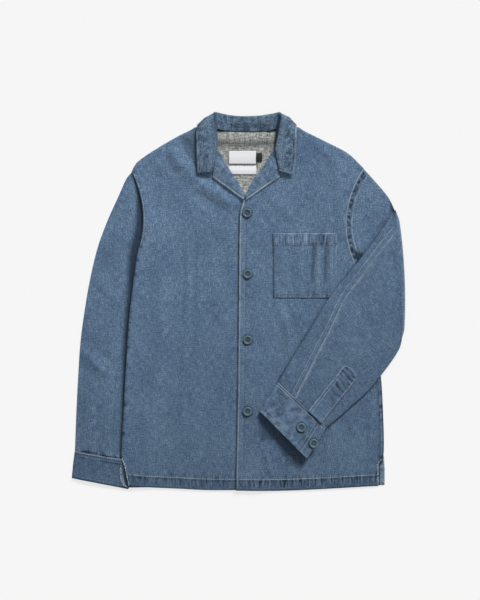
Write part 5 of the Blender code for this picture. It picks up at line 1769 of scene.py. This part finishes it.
def fray(line, height, outward, count, seed):
    """Short loose threads along a raw edge, given as plan points."""
    chance = np.random.default_rng(seed)
    line = even(np.asarray(line, float), 60)
    ahead = unit(np.gradient(line, axis=0))
    for _ in range(count):
        k = chance.integers(0, len(line))
        start = line[k] + chance.uniform(-0.6, 0.6, 2)
        side = np.array([-ahead[k][1], ahead[k][0]]) * outward
        heading = side * chance.uniform(0.2, 1.0) + ahead[k] * chance.uniform(-1, 1)
        bend = chance.uniform(-1, 1, 2)
        size = FRAY_REACH * chance.uniform(0.5, 1.0)
        t = np.linspace(0, 1, 4)[:, None]
        plan = start + heading * size * t + bend * size * 0.35 * t ** 2
        z = height + chance.uniform(-0.8, 0.6) - 0.6 * t[:, 0]
        z = np.maximum(z, relief.at(plan) + 0.25)
        pale_sewing.strand(np.column_stack([plan, z]), chance.uniform(0.22, 0.4), 4)


# ================================================================ assembly
def declare(made, node):
    """Hides the CAD node that a cloth piece stands for."""
    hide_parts(node)


declare(make_sleeve_right(), "sleeve_right")
declare(make_cuff_right(), "cuff_right")

# behind the neck the collar's fall is turned under the back, which lies over it
UNDER_BACK = 3.2            # height under which the collar's points lie there
collar_middle = collar_grid()
heights = collar_middle[..., 2]
hidden_heights = np.where(heights < UNDER_BACK, heights + DOUBLE / 2, 0)
relief.add(np.dstack([collar_middle[..., :2], hidden_heights]))
declare(make_back(), "back_panel")

for name, left, right, bottom, top, finish, stands_up in LABELS:
    label = make_label(name, left, right, bottom, top, LABEL_FINISHES[finish], stands_up)
    declare(label, name)

front_right, right_lines = make_front(
    "front_right", (FRONT_VENT_RIGHT, SIDE_RIGHT, ARMHOLE_RIGHT, HEM_RIGHT, SHOULDER_RIGHT),
    (EDGE_RIGHT, ROLL_RIGHT, NECK_RIGHT), 1.0, FRONT_RIGHT_CREASES, 101)
declare(front_right, "front_right")

# the left front lies over the upper part of the left sleeve
sleeve_rows = smooth([np.r_[a, b, bow] for a, b, bow in SLEEVE_LEFT_UNDER], 30)
sleeve_rings = [ring_plan(row[:2], row[2:4], row[4]) for row in sleeve_rows]
relief.add(np.array([tube_layers(plan, rise, FLAT_LAYERS, 2 * CLOTH)[0] for plan, _, rise in sleeve_rings]))
front_left, left_lines = make_front(
    "front_left", (FRONT_VENT_LEFT, SIDE_LEFT, ARMHOLE_LEFT, HEM_LEFT, SHOULDER_LEFT),
    (EDGE_LEFT, ROLL_LEFT, NECK_LEFT), -1.0, FRONT_LEFT_CREASES, 131)
declare(front_left, "front_left")

for lines, inward, last, seam in ((right_lines, 1, -20, 2.4), (left_lines, -1, -3, 7.2)):
    pale_sewing.run(beside(lines["hem"], HEM_WIDTH * inward)[4:last], 40)
    for inset, thread in ((seam, pale_sewing), (10.6, sewing)):
        thread.run(beside(lines["hole"], -inset * inward)[3:-3], int(inset * 10))
sewing.run(beside(left_lines["edge"], -11.0)[6:-4], 50)
pale_sewing.run(beside(left_lines["edge"], -2.2)[3:-2], 51)

declare(make_lapel("facing_right", ROLL_RIGHT, LAPEL_EDGE_RIGHT, GORGE_RIGHT, 1.0, 151),
        "facing_right")
declare(make_lapel("facing_left", ROLL_LEFT, LAPEL_EDGE_LEFT, GORGE_LEFT, -1.0, 161),
        "facing_left")
declare(finish_collar(collar_middle), "collar")
declare(make_pocket(), "chest_pocket")

for x, y in FRONT_BUTTONS:
    buttonhole((x - 6.5, y), (1, 0))
for number, (x, y) in enumerate(FRONT_BUTTONS, 1):
    make_button(f"button_front_{number}", x, y, number * 1.9)

declare(make_sleeve_left(), "sleeve_left")
declare(make_cuff_left(), "cuff_left")
declare(make_placket(), "sleeve_placket")

x, y = CUFF_BUTTONS[0]
buttonhole((x + 5, y - 5), np.subtract(CUFF_LEFT[0][1], CUFF_LEFT[0][0]))
for number, (x, y) in enumerate(CUFF_BUTTONS, 1):
    make_button(f"button_cuff_{number}", x, y, number * 2.3)

fray(left_lines["vent"], 3.2, 1, 60, 7)
fray(right_lines["vent"], 4.2, -1, 80, 8)
fray(smooth(BACK_VENT_RIGHT, 40) + np.array([BACK_INSET, 0]), 4.2, -1, 80, 9)
fray(smooth(BACK_VENT_LEFT, 40) - np.array([BACK_INSET, 0]), 2.0, 1, 70, 10)
sewing.done("topstitching", THREAD)
pale_sewing.done("topstitching_faded", THREAD_PALE)
slit_shade_sewing.done("buttonhole_slit_shade", PAINTED_HOLE_SHADE)


# ---------------------------------------------------------------- floor, light and camera
FLOOR_SIZE, FLOOR_GAP = 60.0, 0.0003        # metres


def add_floor():
    """A white floor just under the cloth: mostly its own light, with a soft shadow on it."""
    nodes = Nodes("paper_floor")
    nodes.set(Base_Color=(0.20, 0.20, 0.20, 1), Roughness=0.95, Specular_IOR_Level=0.0,
              Emission_Color=(1, 1, 1, 1), Emission_Strength=0.708)
    mesh = bpy.data.meshes.new("floor")
    far = FLOOR_SIZE / 2
    mesh.from_pydata([(-far, -far, 0), (far, -far, 0), (far, far, 0), (-far, far, 0)], [], [(0, 1, 2, 3)])
    mesh.materials.append(nodes.material)
    floor = bpy.data.objects.new("floor", mesh)
    floor.location.z = -FLOOR_GAP
    bpy.context.scene.collection.objects.link(floor)


def add_light():
    """A broad lamp from beyond the collar, a little to the right, and even light all round."""
    lamp = bpy.data.lights.new("key", "SUN")
    lamp.energy = 3.6
    lamp.angle = math.radians(16)
    lamp.color = (1.0, 0.995, 0.985)
    key = bpy.data.objects.new("key", lamp)
    direction = Vector((0.46, 1.0, 0.74))
    key.rotation_mode = "QUATERNION"
    key.rotation_quaternion = direction.to_track_quat("Z", "Y")
    bpy.context.scene.collection.objects.link(key)
    world = bpy.data.worlds.new("studio")
    bpy.context.scene.world = world
    world.use_nodes = True
    background = world.node_tree.nodes["Background"]
    background.inputs[0].default_value = (0.985, 0.99, 1.0, 1)
    background.inputs[1].default_value = 0.44


PHOTO_HEIGHT = 600                  # pixels
MM_PER_PIXEL = 2.0
VIEW_CENTRE = (3.0, 2.0)            # the table's point at the middle of the frame
LENS, SENSOR = 85.0, 36.0
SHIRT_HEIGHT = 0.007                # where the scale holds, above the floor


def add_camera():
    """The camera, straight over the shirt."""
    camera = bpy.data.cameras.new("camera")
    camera.lens, camera.sensor_width = LENS, SENSOR
    placed = bpy.data.objects.new("camera", camera)
    seen = PHOTO_HEIGHT * MM_PER_PIXEL * MM
    placed.location = ((VIEW_CENTRE[0] + SHIFT[0]) * MM, (VIEW_CENTRE[1] + SHIFT[1]) * MM,
                       SHIRT_HEIGHT + seen * LENS / SENSOR)
    bpy.context.scene.collection.objects.link(placed)
    bpy.context.scene.camera = placed
    bpy.context.scene.view_settings.view_transform = "Standard"


add_floor()
add_light()
add_camera()
